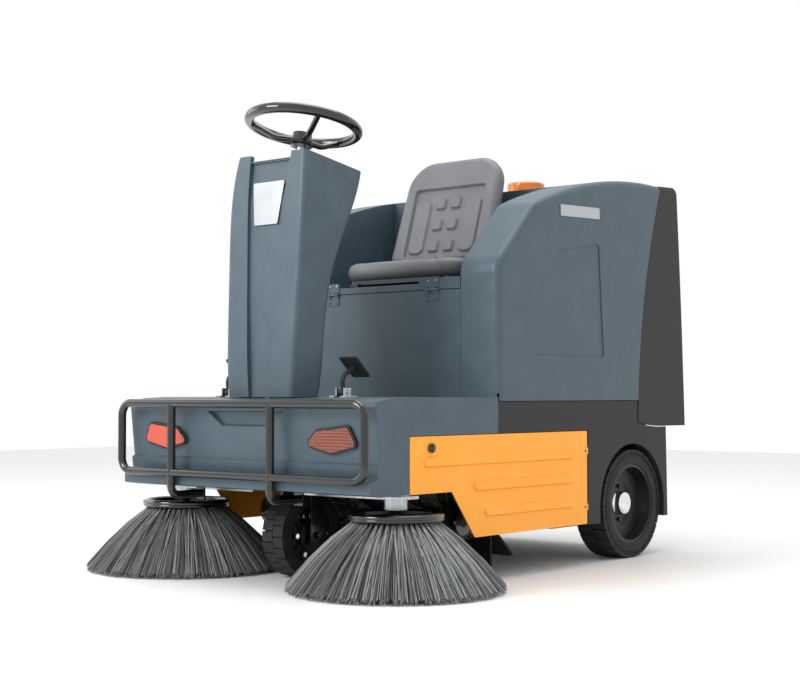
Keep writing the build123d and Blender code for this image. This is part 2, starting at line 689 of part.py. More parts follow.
with BuildPart() as front_fork:
    crown_z = 2 * FRONT_WHEEL_R + 14
    with Locations((0, FRONT_WHEEL_Y, crown_z + CROWN_T / 2)):
        Box(2 * FORK_LEG_X + FORK_LEG_T, 64, CROWN_T)
    with Locations(*[(sign * FORK_LEG_X, FRONT_WHEEL_Y, (crown_z + FRONT_WHEEL_R - 24) / 2 + 1) for sign in (1, -1)]):
        Box(FORK_LEG_T, 48, crown_z - FRONT_WHEEL_R + 26)
    with Locations((0, FRONT_WHEEL_Y, FRONT_WHEEL_R)):
        Cylinder(FRONT_AXLE_R, 2 * FORK_LEG_X + 26, rotation=(0, 90, 0))
    with Locations((0, FRONT_WHEEL_Y, crown_z)):
        Cylinder(KINGPIN_R, SPROCKET_Z + SPROCKET_T + 4 - crown_z, align=(Align.CENTER, Align.CENTER, Align.MIN))
    with Locations((0, FRONT_WHEEL_Y, crown_z)):
        Cylinder(30, HEAD_LOW_Z - 1 - crown_z, align=(Align.CENTER, Align.CENTER, Align.MIN))
    with Locations((0, FRONT_WHEEL_Y, SPROCKET_Z + SPROCKET_T / 2)):
        Cylinder(BIG_SPROCKET_R, SPROCKET_T)
    with Locations((0, FRONT_WHEEL_Y, SPROCKET_Z + SPROCKET_T / 2)):
        with PolarLocations(48, 5):
            Cylinder(14, SPROCKET_T + 2, mode=Mode.SUBTRACT)
save(front_fork, "front_fork")

with BuildPart() as head_bearings:
    for z in (HEAD_LOW_Z, HEAD_HIGH_Z - BEARING_HEIGHT):
        with Locations((0, FRONT_WHEEL_Y, z + BEARING_HEIGHT / 2)):
            Cylinder(BEARING_R, BEARING_HEIGHT)
            Cylinder(KINGPIN_R + SHAFT_CLEARANCE, BEARING_HEIGHT, mode=Mode.SUBTRACT)
save(head_bearings, "head_bearings")

with BuildPart() as front_rim:
    with Locations((0, FRONT_WHEEL_Y, FRONT_WHEEL_R)):
        Cylinder(74, 60, rotation=(0, 90, 0))
        Cylinder(46, 84, rotation=(0, 90, 0))
        Cylinder(FRONT_AXLE_R + SHAFT_CLEARANCE, 100, rotation=(0, 90, 0), mode=Mode.SUBTRACT)
    for sign in (1, -1):
        with Locations(Plane(origin=(sign * 30, FRONT_WHEEL_Y, FRONT_WHEEL_R), z_dir=(sign, 0, 0))):
            with PolarLocations(58, 6):
                Cylinder(6, 6, align=(Align.CENTER, Align.CENTER, Align.MIN))
save(front_rim, "front_rim")


def tyre(wheel_y, wheel_r, rim_r, inner_x, outer_x, shoulder_r):
    """Tyre with rounded shoulders, turned about the wheel's axis."""
    with BuildPart() as ring:
        with BuildSketch(Plane(origin=(0, wheel_y, wheel_r), x_dir=(1, 0, 0), z_dir=(0, -1, 0))) as profile:
            with Locations(((inner_x + outer_x) / 2, (wheel_r + rim_r) / 2)):
                Rectangle(outer_x - inner_x, wheel_r - rim_r)
            fillet(profile.vertices().group_by(Axis.Y)[-1], shoulder_r)
        revolve(axis=Axis((0, wheel_y, wheel_r), (1, 0, 0)))
    return ring


save(tyre(FRONT_WHEEL_Y, FRONT_WHEEL_R, 74, -FRONT_TYRE_WIDTH / 2, FRONT_TYRE_WIDTH / 2, 14), "front_tyre")

# ---------------------------------------------------------------- rear wheels
RIM_R = 116.0
DISH_DEPTH = 47.0
DISH_R = 108.0
HUB_CAP_R = 34.0
BOLT_CIRCLE_R = 49.0
inner_x = REAR_WHEEL_OUTER_X - REAR_TYRE_WIDTH
save_pair(tyre(WHEELBASE_REAR_Y, REAR_WHEEL_R, RIM_R, inner_x, REAR_WHEEL_OUTER_X, 16), "rear_tyre")

with BuildPart() as rear_rim:
    dish_x = REAR_WHEEL_OUTER_X - DISH_DEPTH
    with BuildSketch(Plane(origin=(0, WHEELBASE_REAR_Y, REAR_WHEEL_R), x_dir=(1, 0, 0), z_dir=(0, -1, 0))):
        with BuildLine():
            Polyline(
                (inner_x + 4, RIM_R), (REAR_WHEEL_OUTER_X - 3, RIM_R), (REAR_WHEEL_OUTER_X - 3, DISH_R),
                (dish_x + 6, DISH_R - 6), (dish_x, 68), (dish_x, 30), (dish_x + 10, 30),
                (dish_x + 10, AXLE_R + SHAFT_CLEARANCE), (inner_x + 14, AXLE_R + SHAFT_CLEARANCE),
                (inner_x + 14, 40), (dish_x - 8, 68), (inner_x + 12, DISH_R - 4), (inner_x + 4, DISH_R), close=True,
            )
        make_face()
    revolve(axis=Axis((0, WHEELBASE_REAR_Y, REAR_WHEEL_R), (1, 0, 0)))
    with Locations(Plane(origin=(dish_x, WHEELBASE_REAR_Y, REAR_WHEEL_R), z_dir=(1, 0, 0))):
        with PolarLocations(BOLT_CIRCLE_R, 6):
            Cylinder(6.5, 7, align=(Align.CENTER, Align.CENTER, Align.MIN))
    # domed hub cap, a separate piece that the rim carries
    with Locations(Plane(origin=(dish_x + 10.2, WHEELBASE_REAR_Y, REAR_WHEEL_R), z_dir=(1, 0, 0))):
        Cylinder(HUB_CAP_R, 16, align=(Align.CENTER, Align.CENTER, Align.MIN))
    fillet(rear_rim.edges().filter_by(GeomType.CIRCLE).filter_by(lambda e: abs(e.radius - HUB_CAP_R) < 0.1)
           .sort_by(Axis.X)[-1], 6)
save_pair(rear_rim, "rear_rim")

with BuildPart() as rear_axles:
    for sign in (1, -1):
        with Locations((sign * (SIDE_PLATE_X - SIDE_PLATE_T), WHEELBASE_REAR_Y, REAR_WHEEL_R)):
            Cylinder(
                AXLE_R,
                dish_x + 9.5 - SIDE_PLATE_X + SIDE_PLATE_T,
                rotation=(0, 90 * sign, 0),
                align=(Align.CENTER, Align.CENTER, Align.MIN),
            )
save(rear_axles, "rear_axles")

# ---------------------------------------------------------------- pedals
PEDAL_LENGTH = 74.0
PEDAL_WIDTH = 60.0
PEDAL_T = 5.0
PEDAL_SLOPE = 42.0
PEDAL_PIN_Z = DECK_Z + 12
PEDAL_ROD_R = 6.0

with BuildPart() as pedal:
    plate_plane = Plane(
        origin=(PEDAL_X, -484, 556),
        x_dir=(1, 0, 0),
        z_dir=(0, sin(radians(PEDAL_SLOPE)), cos(radians(PEDAL_SLOPE))),
    )
    with BuildSketch(plate_plane):
        RectangleRounded(PEDAL_WIDTH, PEDAL_LENGTH, 6)
    extrude(amount=-PEDAL_T)
    add_tube(
        [(PEDAL_X, PEDAL_Y, PEDAL_PIN_Z), (PEDAL_X, PEDAL_Y - 4, 530), (PEDAL_X, -484, 552)],
        24,
        PEDAL_ROD_R,
    )
    with Locations((PEDAL_X, PEDAL_Y, PEDAL_PIN_Z)):
        Cylinder(9, 20, rotation=(0, 90, 0))
        Cylinder(4 + SHAFT_CLEARANCE, 30, rotation=(0, 90, 0), mode=Mode.SUBTRACT)
save_pair(pedal, "pedal")

with BuildPart() as pedal_brackets:
    for sign in (1, -1):
        with Locations((sign * PEDAL_X, PEDAL_Y, DECK_Z + 2)):
            Box(56, 44, 4)
            Box(21, 60, 8, mode=Mode.SUBTRACT)
        with Locations(*[(sign * PEDAL_X + dx, PEDAL_Y, DECK_Z + 13) for dx in (-14, 14)]):
            Box(5, 24, 22)
        with Locations((sign * PEDAL_X, PEDAL_Y, PEDAL_PIN_Z)):
            Cylinder(4, 40, rotation=(0, 90, 0))
save(pedal_brackets, "pedal_brackets")

# ---------------------------------------------------------------- rear shell
SHELL_FRONT_TOP_Z = 832.0
SHELL_SHOULDER = (-12.0, 1006.0)
SHELL_CREST = (206.5, 1074.0)
SHELL_REAR_TOP = (655.5, 1119.0)
SHELL_REAR_MID = (559.0, 792.0)
SHELL_REAR_FOOT = (517.5, SKIRT_TOP_Z)
SHELL_EDGE_R = 20.0
POCKET_DEPTH = 3.0
SHELL_REST_Z = DECK_PLATE_Z


def shell_solid(inset, rear_inset):
    """Solid with the rear shell's side outline, inset from the outer surface."""
    with BuildPart() as solid:
        with BuildSketch(side_plane(0)) as outline:
            with BuildLine():
                Polyline(SHELL_REAR_FOOT, (REAR_SHELL_FRONT_Y, SKIRT_TOP_Z), (REAR_SHELL_FRONT_Y, SHELL_FRONT_TOP_Z),
                         SHELL_SHOULDER)
                ThreePointArc(SHELL_SHOULDER, SHELL_CREST, SHELL_REAR_TOP)
                ThreePointArc(SHELL_REAR_TOP, SHELL_REAR_MID, SHELL_REAR_FOOT)
            make_face()
            corners = outline.vertices().filter_by(lambda v: v.Y > 800 and v.X < 100)
            fillet(corners, 70)
            if inset:
                offset(amount=-inset, kind=Kind.INTERSECTION)
        extrude(amount=HALF_WIDTH - inset, both=True)
        top = solid.edges().filter_by(lambda e: abs(abs(e.center().X) - HALF_WIDTH + inset) < 1)
        top = top.filter_by(lambda e: e.center().Z > 600 and e.center().Y < 520)
        fillet(top, SHELL_EDGE_R - inset)
    return solid


with BuildPart() as shell_cavity:
    add(shell_solid(WALL, 0).part)
    # the cavity runs out through the bottom and the back
    with BuildSketch(side_plane(0)):
        with Locations((170, SKIRT_TOP_Z)):
            Rectangle(2 * (170 - REAR_SHELL_FRONT_Y - WALL), 40)
    extrude(amount=HALF_WIDTH - WALL, both=True)
    with Locations((0, WALL + 1, 0)):
        add(shell_solid(WALL, 0).part)
    with Locations((0, (SEAT_BAY_REAR_Y + REAR_SHELL_FRONT_Y) / 2, 800)):
        Box(
            2 * (SEAT_BAY_HALF_WIDTH + WALL),
            SEAT_BAY_REAR_Y - REAR_SHELL_FRONT_Y + 2 * WALL,
            1400,
            mode=Mode.SUBTRACT,
        )

with BuildPart() as rear_shell:
    add(shell_solid(0, 0).part)
    add(shell_cavity.part, mode=Mode.SUBTRACT)
    with Locations((0, (SEAT_BAY_REAR_Y + REAR_SHELL_FRONT_Y) / 2 - 10, 800)):
        Box(2 * SEAT_BAY_HALF_WIDTH, SEAT_BAY_REAR_Y - REAR_SHELL_FRONT_Y + 20, 1400, mode=Mode.SUBTRACT)
    # feet of the bay walls stand on the chassis rails
    for sign in (1, -1):
        with Locations((
            sign * (SEAT_BAY_HALF_WIDTH + WALL / 2),
            (SEAT_BAY_REAR_Y + REAR_SHELL_FRONT_Y) / 2,
            (SHELL_REST_Z + SKIRT_TOP_Z) / 2 + 1,
        )):
            Box(WALL, SEAT_BAY_REAR_Y - REAR_SHELL_FRONT_Y - 2, SKIRT_TOP_Z - SHELL_REST_Z + 2)
    # long pocket pressed into each side
    for sign in (1, -1):
        with BuildSketch(side_plane(sign * (HALF_WIDTH - POCKET_DEPTH))):
            with BuildLine():
                Polyline((-26, 586), (-21, 740), (-6, 772), (52, 846), (108, 892), (309, 920), (333, 585), close=True)
            make_face()
        extrude(amount=sign * -WALL)
    for sign in (1, -1):
        with BuildSketch(side_plane(sign * (HALF_WIDTH + 1))) as pocket:
            with BuildLine():
                Polyline((-22, 590), (-18, 736), (-2, 768), (56, 842), (110, 886), (305, 915), (329, 589), close=True)
            make_face()
            fillet(pocket.vertices(), 12)
        extrude(amount=sign * -(POCKET_DEPTH + 1), mode=Mode.SUBTRACT)
    # hinge lugs and pins for the rear cover
    for sign in (1, -1):
        with Locations(*[(sign * (COVER_KNUCKLE_X + dx), COVER_HINGE_Y, COVER_HINGE_Z) for dx in (-36, 36)]):
            Cylinder(5, 10, rotation=(0, 90, 0))
        with Locations(*[(sign * (COVER_KNUCKLE_X + dx), COVER_HINGE_Y - 14, COVER_HINGE_Z - 7) for dx in (-36, 36)]):
            Box(10, 22, 8)
        with Locations((sign * COVER_KNUCKLE_X, COVER_HINGE_Y, COVER_HINGE_Z)):
            Cylinder(COVER_PIN_R, 82, rotation=(0, 90, 0))
save(rear_shell, "rear_shell")

# ---------------------------------------------------------------- badges, left blank
BADGE_LIFT = 0.5              # clears the slight twist of the recess floor

with BuildPart() as badges:
    badge_z = 981.0
    lean = degrees(atan2(cowl_front_y(badge_z + 20) - cowl_front_y(badge_z - 20), 40))
    front = Plane(
        origin=(0, cowl_front_y(badge_z) + COWL_RECESS - BADGE_LIFT, badge_z),
        x_dir=(1, 0, 0),
        z_dir=(0, -cos(radians(lean)), sin(radians(lean))),
    )
    with BuildSketch(front) as shield:
        Polygon((-57, 57), (57, 57), (42, -57), (-42, -57), align=None)
        fillet(shield.vertices(), 5)
    extrude(amount=2.5)
    for sign in (1, -1):
        with BuildSketch(side_plane(sign * HALF_WIDTH)) as plate:
            with Locations((205, 998)):
                Rectangle(199, 32, rotation=2)
            fillet(plate.vertices(), 4)
        extrude(amount=sign * 2.5)
save(badges, "badges")

# ---------------------------------------------------------------- seat box, lid and seat
LID_BOTTOM_Z = SEAT_BOX_TOP_Z + 2
LID_MID_Z = LID_BOTTOM_Z + 18
LID_SIDE_X = 186.0
LID_HINGE_XS = (223.0, -140.0)
LID_HINGE_Y = REAR_SHELL_FRONT_Y - 4
LID_HINGE_Z = SEAT_BOX_TOP_Z + 1
LID_PIN_R = 2.0
LID_HALF = SEAT_BAY_HALF_WIDTH - 3
LID_REAR_Y = SEAT_BAY_REAR_Y - 6
RAIL_SPREAD = 130.0
SHEET = 2.5

with BuildPart() as seat_box_panel:
    with Locations((0, REAR_SHELL_FRONT_Y + SHEET / 2, (DECK_PLATE_Z + SEAT_BOX_TOP_Z) / 2)):
        Box(2 * SEAT_BAY_HALF_WIDTH - 2, SHEET, SEAT_BOX_TOP_Z - DECK_PLATE_Z)
    with Locations(*[(sign * (SEAT_BAY_HALF_WIDTH - 14), REAR_SHELL_FRONT_Y + 210, 755) for sign in (1, -1)]):
        Box(26, 420, 22)
save(seat_box_panel, "seat_box_panel")

with BuildPart() as seat_lid:
    lid_mid_y = (REAR_SHELL_FRONT_Y + LID_REAR_Y) / 2
    lid_length = LID_REAR_Y - REAR_SHELL_FRONT_Y
    with Locations((0, lid_mid_y, (LID_BOTTOM_Z + LID_MID_Z) / 2)):
        Box(2 * LID_HALF, lid_length, LID_MID_Z - LID_BOTTOM_Z)
    for sign in (1, -1):
        with Locations((sign * (LID_SIDE_X + LID_HALF) / 2, lid_mid_y, LID_MID_Z + LID_STEP / 2)):
            Box(LID_HALF - LID_SIDE_X, lid_length, LID_STEP)
    with Locations((0, lid_mid_y, LID_BOTTOM_Z + 6)):
        Box(2 * (LID_HALF - SHEET), lid_length - 2 * SHEET, 20, mode=Mode.SUBTRACT)
    for x in LID_HINGE_XS:
        with Locations((x, REAR_SHELL_FRONT_Y - 1, LID_BOTTOM_Z + 18)):
            Box(44, 2, 26)
        with Locations((x, LID_HINGE_Y, LID_HINGE_Z)):
            Cylinder(4, 16, rotation=(0, 90, 0))
        with Locations((x, LID_HINGE_Y + 2, LID_BOTTOM_Z + 3)):
            Box(16, 4, 4)
        with Locations((x, LID_HINGE_Y, LID_HINGE_Z)):
            Cylinder(LID_PIN_R + SHAFT_CLEARANCE, 20, rotation=(0, 90, 0), mode=Mode.SUBTRACT)
save(seat_lid, "seat_lid")

with BuildPart() as lid_hinges:
    for x in LID_HINGE_XS:
        with Locations((x, REAR_SHELL_FRONT_Y - 1, SEAT_BOX_TOP_Z - 16)):
            Box(44, 2, 26)
        with Locations(*[(x + dx, LID_HINGE_Y + 1, LID_HINGE_Z - 5) for dx in (-15, 15)]):
            Box(12, 5, 10)
        with Locations(*[(x + dx, LID_HINGE_Y, LID_HINGE_Z) for dx in (-15, 15)]):
            Cylinder(4, 12, rotation=(0, 90, 0))
        with Locations((x, LID_HINGE_Y, LID_HINGE_Z)):
            Cylinder(LID_PIN_R, 42, rotation=(0, 90, 0))
        with Locations(*[(x + dx, REAR_SHELL_FRONT_Y - 3, SEAT_BOX_TOP_Z - 22) for dx in (-14, 14)]):
            Cylinder(3.5, 2, rotation=(90, 0, 0))
save(lid_hinges, "lid_hinges")

RAIL_TOP_Z = LID_MID_Z + SEAT_RAIL_HEIGHT
with BuildPart() as seat_rails:
    with Locations(*[(sign * RAIL_SPREAD, 40, LID_MID_Z + SEAT_RAIL_HEIGHT / 2) for sign in (1, -1)]):
        Box(30, 300, SEAT_RAIL_HEIGHT)
save(seat_rails, "seat_rails")

PAN_Z = RAIL_TOP_Z + FIT_GAP
CUSHION_Z = PAN_Z + SEAT_PAN_T
back_lean = radians(BACKREST_LEAN)
back_foot = (0, BACKREST_FOOT_Y, CUSHION_Z + CUSHION_THICKNESS + 3)
back_plane = Plane(origin=back_foot, x_dir=(1, 0, 0), z_dir=(0, -cos(back_lean), sin(back_lean)))

with BuildPart() as seat_pan:
    with BuildSketch(Plane.XY.offset(PAN_Z)):
        with Locations((0, (CUSHION_FRONT_Y + CUSHION_REAR_Y) / 2 + 20)):
            RectangleRounded(2 * SEAT_HALF_WIDTH - 24, CUSHION_REAR_Y - CUSHION_FRONT_Y + 40, 40)
    extrude(amount=SEAT_PAN_T)
    # bent steel back plate behind the backrest
    with BuildSketch(back_plane.offset(-BACKREST_T - 0.3)):
        with Locations((0, BACKREST_HEIGHT / 2)):
            RectangleRounded(2 * BACKREST_TOP_HALF_WIDTH - 50, BACKREST_HEIGHT - 30, 60)
    extrude(amount=-SHEET)
    bracket_top = back_foot[2] + 30
    bracket_y = back_foot[1] + (BACKREST_T + 0.5) / cos(back_lean) + 30 * tan(back_lean)
    with Locations(*[(sign * 60, bracket_y + 4, (PAN_Z + bracket_top) / 2) for sign in (1, -1)]):
        Box(40, 8, bracket_top - PAN_Z)
save(seat_pan, "seat_pan")

with BuildPart() as seat_cushion:
    with BuildSketch(Plane.XY.offset(CUSHION_Z + FIT_GAP)):
        with Locations((0, (CUSHION_FRONT_Y + CUSHION_REAR_Y) / 2)):
            RectangleRounded(2 * SEAT_HALF_WIDTH, CUSHION_REAR_Y - CUSHION_FRONT_Y, 60)
    extrude(amount=CUSHION_THICKNESS)
    fillet(seat_cushion.faces().sort_by(Axis.Z)[-1].edges(), 16)
save(seat_cushion, "seat_cushion")

with BuildPart() as seat_backrest:
    with BuildSketch(back_plane) as outline:
        Polygon(
            (-BACKREST_HALF_WIDTH, -4), (BACKREST_HALF_WIDTH, -4),
            (BACKREST_TOP_HALF_WIDTH, BACKREST_HEIGHT), (-BACKREST_TOP_HALF_WIDTH, BACKREST_HEIGHT),
            align=None,
        )
        fillet(outline.vertices().group_by(Axis.Y)[-1], 92)
        fillet(outline.vertices().group_by(Axis.Y)[0], 24)
    extrude(amount=-BACKREST_T)
    fillet(seat_backrest.faces().sort_by(Axis.Y)[0].edges(), 14)
    # the foot is cut level above the cushion
    with Locations((0, BACKREST_FOOT_Y, CUSHION_Z + CUSHION_THICKNESS + 1)):
        Box(2 * SEAT_HALF_WIDTH, 200, 60, align=(Align.CENTER, Align.CENTER, Align.MAX), mode=Mode.SUBTRACT)
save(seat_backrest, "seat_backrest")

# ---------------------------------------------------------------- rear cover
COVER_FRONT_GAP = 2.0
COVER_EDGE_R = 10.0
COVER_REAR_TOP = (755.5, 1124.0)
COVER_REAR_MID = (781.5, 755.0)
COVER_REAR_FOOT = (COVER_REAR_BOTTOM_Y, COVER_BOTTOM_Z)
COVER_SWING_R = COVER_HINGE_Z - COVER_BOTTOM_Z


def swing_z(y, radius):
    """Height of the arc about the cover's hinge at a given y."""
    return COVER_HINGE_Z - sqrt(radius ** 2 - (y - COVER_HINGE_Y) ** 2)


def cover_solid(inset):
    """Solid with the rear cover's side outline."""
    gap = COVER_FRONT_GAP
    top_front = (SHELL_REAR_TOP[0] + gap, SHELL_REAR_TOP[1])
    mid_front = (SHELL_REAR_MID[0] + gap, SHELL_REAR_MID[1])
    low_front = (SHELL_REAR_FOOT[0] + gap - 3, swing_z(SHELL_REAR_FOOT[0] + gap - 3, COVER_SWING_R))
    with BuildPart() as solid:
        with BuildSketch(side_plane(0)) as outline:
            with BuildLine():
                ThreePointArc(top_front, mid_front, low_front)
                ThreePointArc(
                    low_front, (600, swing_z(600, COVER_SWING_R)), (SKIRT_REAR_Y, swing_z(SKIRT_REAR_Y, COVER_SWING_R))
                )
                Polyline((SKIRT_REAR_Y, swing_z(SKIRT_REAR_Y, COVER_SWING_R)), COVER_REAR_FOOT)
                ThreePointArc(COVER_REAR_FOOT, COVER_REAR_MID, COVER_REAR_TOP)
                Line(COVER_REAR_TOP, top_front)
            make_face()
            fillet(outline.vertices().filter_by(lambda v: v.X > 740 and v.Y > 1000), 26)
            if inset:
                offset(amount=-inset, kind=Kind.INTERSECTION)
        extrude(amount=HALF_WIDTH - inset, both=True)
        rear = solid.edges().filter_by(lambda e: abs(abs(e.center().X) - HALF_WIDTH + inset) < 1)
        rear = rear.filter_by(lambda e: e.center().Y > 690 and e.center().Z > 420)
        fillet(rear, COVER_EDGE_R - inset)
    return solid


with BuildPart() as rear_cover:
    add(cover_solid(0).part)
    add(cover_solid(WALL).part, mode=Mode.SUBTRACT)
    with Locations((0, -WALL - 3, 0), (0, -30, -30)):
        add(cover_solid(WALL).part, mode=Mode.SUBTRACT)
    for sign in (1, -1):
        with Locations((sign * COVER_KNUCKLE_X, COVER_HINGE_Y, COVER_HINGE_Z)):
            Cylinder(5, 60, rotation=(0, 90, 0))
        with Locations((sign * COVER_KNUCKLE_X, COVER_HINGE_Y + 18, COVER_HINGE_Z - 5)):
            Box(60, 30, 3)
        with Locations((sign * COVER_KNUCKLE_X, COVER_HINGE_Y, COVER_HINGE_Z)):
            Cylinder(COVER_PIN_R + SHAFT_CLEARANCE, 70, rotation=(0, 90, 0), mode=Mode.SUBTRACT)
save(rear_cover, "rear_cover")

# ---------------------------------------------------------------- skirts and side doors
HINGE_PIN_X = HALF_WIDTH - 4.0
HINGE_PIN_Y = DOOR_REAR_Y + 4.0
HINGE_PIN_R = 2.0
KNUCKLE_R = 4.2
KNUCKLE_HALF = 8.0
HINGE_ZS = (166.0, 324.0)
DOOR_OUTER_X = HALF_WIDTH

with BuildPart() as side_skirts:
    top_gap = PANEL_GAP
    seam_r = COVER_SWING_R + COVER_FRONT_GAP
    seam_start = SHELL_REAR_FOOT[0] - 2
    with BuildSketch(side_plane(0)) as outline:
        with BuildLine():
            Polyline(
                (seam_start, swing_z(seam_start, seam_r)), (seam_start, SKIRT_TOP_Z - top_gap),
                (REAR_SHELL_FRONT_Y + 0.5, SKIRT_TOP_Z - top_gap), (REAR_SHELL_FRONT_Y + 0.5, SKIRT_BOTTOM_Z),
                (SKIRT_REAR_Y + 4, SKIRT_BOTTOM_Z), (SKIRT_REAR_Y - 4, swing_z(SKIRT_REAR_Y - 4, seam_r)),
            )
            ThreePointArc(
                (SKIRT_REAR_Y - 4, swing_z(SKIRT_REAR_Y - 4, seam_r)), (600, swing_z(600, seam_r)),
                (seam_start, swing_z(seam_start, seam_r)),
            )
        make_face()
        with Locations((ARCH_Y, REAR_WHEEL_R)):
            Circle(ARCH_R, mode=Mode.SUBTRACT)
        with Locations((ARCH_Y, REAR_WHEEL_R - 100)):
            Rectangle(2 * ARCH_R, 200, mode=Mode.SUBTRACT)
        # opening for the side door
        with Locations(((REAR_SHELL_FRONT_Y - 10 + HINGE_PIN_Y + 5) / 2, (DOOR_TOP_Z + PANEL_GAP) / 2)):
            Rectangle(HINGE_PIN_Y + 5 - REAR_SHELL_FRONT_Y + 10, DOOR_TOP_Z + PANEL_GAP, mode=Mode.SUBTRACT)
    extrude(amount=SKIRT_OUTER_X, both=True)
    with Locations((0, 200, 300)):
        Box(2 * SKIRT_INNER_X, 1400, 900, mode=Mode.SUBTRACT)
    # wheel arch liners between the skirts and the chassis plates
    for sign in (1, -1):
        with BuildSketch(side_plane(sign * (SIDE_PLATE_X + 1))):
            for radius, mode in ((LINER_R + LINER_T, Mode.ADD), (LINER_R, Mode.SUBTRACT)):
                with Locations((ARCH_Y, REAR_WHEEL_R)):
                    Circle(radius, mode=mode)
                with Locations((ARCH_Y, REAR_WHEEL_R / 2)):
                    Rectangle(2 * radius, REAR_WHEEL_R, mode=mode)
            with Locations((ARCH_Y, 0)):
                Rectangle(3 * ARCH_R, 2 * SKIRT_BOTTOM_Z, mode=Mode.SUBTRACT)
        extrude(amount=sign * (SKIRT_INNER_X - SIDE_PLATE_X))
    for sign in (1, -1):
        for z in HINGE_ZS:
            for dz in (-KNUCKLE_HALF - 4.3, KNUCKLE_HALF + 4.3):
                with Locations((sign * HINGE_PIN_X, HINGE_PIN_Y + 2, z + dz)):
                    Box(5, 9, 8)
            with Locations((sign * HINGE_PIN_X, HINGE_PIN_Y, z)):
                Cylinder(HINGE_PIN_R, 2 * KNUCKLE_HALF + 16)
save(side_skirts, "side_skirts")

DOOR_RIBS = [((-496.5, 170.5), 316.5), ((-292.5, 170.5), 249.0), ((-247.5, 170.5), 181.5)]
LATCH_Y = -465.5
LATCH_Z = 351.0
LATCH_R = 9.0

with BuildPart() as side_door:
    with BuildSketch(side_plane(DOOR_OUTER_X - DOOR_SHEET)) as outline:
        Polygon(
            (DOOR_FRONT_Y, DOOR_TOP_Z), (DOOR_REAR_Y, DOOR_TOP_Z), (DOOR_REAR_Y, DOOR_BOTTOM_Z),
            (DOOR_FOOT_Y, DOOR_BOTTOM_Z), (DOOR_NOTCH_Y, HOUSING_BOTTOM_Z), (DOOR_FRONT_Y, HOUSING_BOTTOM_Z),
            align=None,
        )
        fillet(outline.vertices(), 4)
    extrude(amount=DOOR_SHEET)
    for (start, end), z in DOOR_RIBS:
        with BuildSketch(side_plane(DOOR_OUTER_X)):
            with Locations(((start + end) / 2, z)):
                SlotOverall(end - start, RIB_WIDTH)
        extrude(amount=RIB_HEIGHT, taper=38)
    for z in HINGE_ZS:
        with Locations((HINGE_PIN_X, HINGE_PIN_Y, z)):
            Cylinder(KNUCKLE_R, 2 * KNUCKLE_HALF)
        with Locations((HINGE_PIN_X + 1.5, HINGE_PIN_Y - 3.5, z)):
            Box(3, 4, 2 * KNUCKLE_HALF)
        with Locations((HINGE_PIN_X, HINGE_PIN_Y, z)):
            Cylinder(HINGE_PIN_R + SHAFT_CLEARANCE, 40, mode=Mode.SUBTRACT)
    with Locations((DOOR_OUTER_X, LATCH_Y, LATCH_Z)):
        Cylinder(LATCH_R + SHAFT_CLEARANCE, 30, rotation=(0, 90, 0), mode=Mode.SUBTRACT)
save_pair(side_door, "side_door")

with BuildPart() as door_latch:
    with Locations((DOOR_OUTER_X - DOOR_SHEET - 8, LATCH_Y, LATCH_Z)):
        Cylinder(LATCH_R, DOOR_SHEET + 10, rotation=(0, 90, 0), align=(Align.CENTER, Align.CENTER, Align.MIN))
    with Locations((DOOR_OUTER_X + 4, LATCH_Y, LATCH_Z)):
        Cylinder(LATCH_R + 3, 4, rotation=(0, 90, 0))
        Box(8, 6, 20)
    with Locations((DOOR_OUTER_X - DOOR_SHEET - 7, LATCH_Y, LATCH_Z + 9)):
        Box(3, 14, 36)
save_pair(door_latch, "door_latch")

# ---------------------------------------------------------------- beacon
BEACON_Y = 572.0
BEACON_R = 60.0
BEACON_SEAT_Z = 1120.0
BEACON_LENS_HEIGHT = 30.0

with BuildPart() as beacon_base:
    with Locations((0, BEACON_Y, BEACON_SEAT_Z + 8)):
        Cylinder(BEACON_R + 3, 40, align=(Align.CENTER, Align.CENTER, Align.MAX))
    add(shell_solid(0, 0).part, mode=Mode.SUBTRACT)
save(beacon_base, "beacon_base")

with BuildPart() as beacon_lens:
    with Locations((0, BEACON_Y, BEACON_SEAT_Z + 8)):
        Cylinder(BEACON_R, BEACON_LENS_HEIGHT, align=(Align.CENTER, Align.CENTER, Align.MIN))
    fillet(beacon_lens.faces().sort_by(Axis.Z)[-1].edges(), 9)
save(beacon_lens, "beacon_lens")

# ---------------------------------------------------------------- batteries
BATTERY = (330.0, 172.0, 220.0)
BATTERY_SPACING = 180.0

with BuildPart() as batteries:
    for k in (-1, 0, 1):
        with Locations((k * BATTERY_SPACING, -10, DECK_PLATE_Z)):
            Box(BATTERY[1], BATTERY[0], BATTERY[2], align=(Align.CENTER, Align.CENTER, Align.MIN))
        with Locations(*[(k * BATTERY_SPACING + dx, -140, DECK_PLATE_Z + BATTERY[2]) for dx in (-55, 55)]):
            Cylinder(8, 16, align=(Align.CENTER, Align.CENTER, Align.MIN))
save(batteries, "batteries")

# ---------------------------------------------------------------- side brooms
MOTOR_R = 38.0
ARM_PLATE_Z = 226.0
ARM_PLATE_T = 8.0
ARM_OUTER_X = 424.0
BROOM_SHAFT_R = 10.0

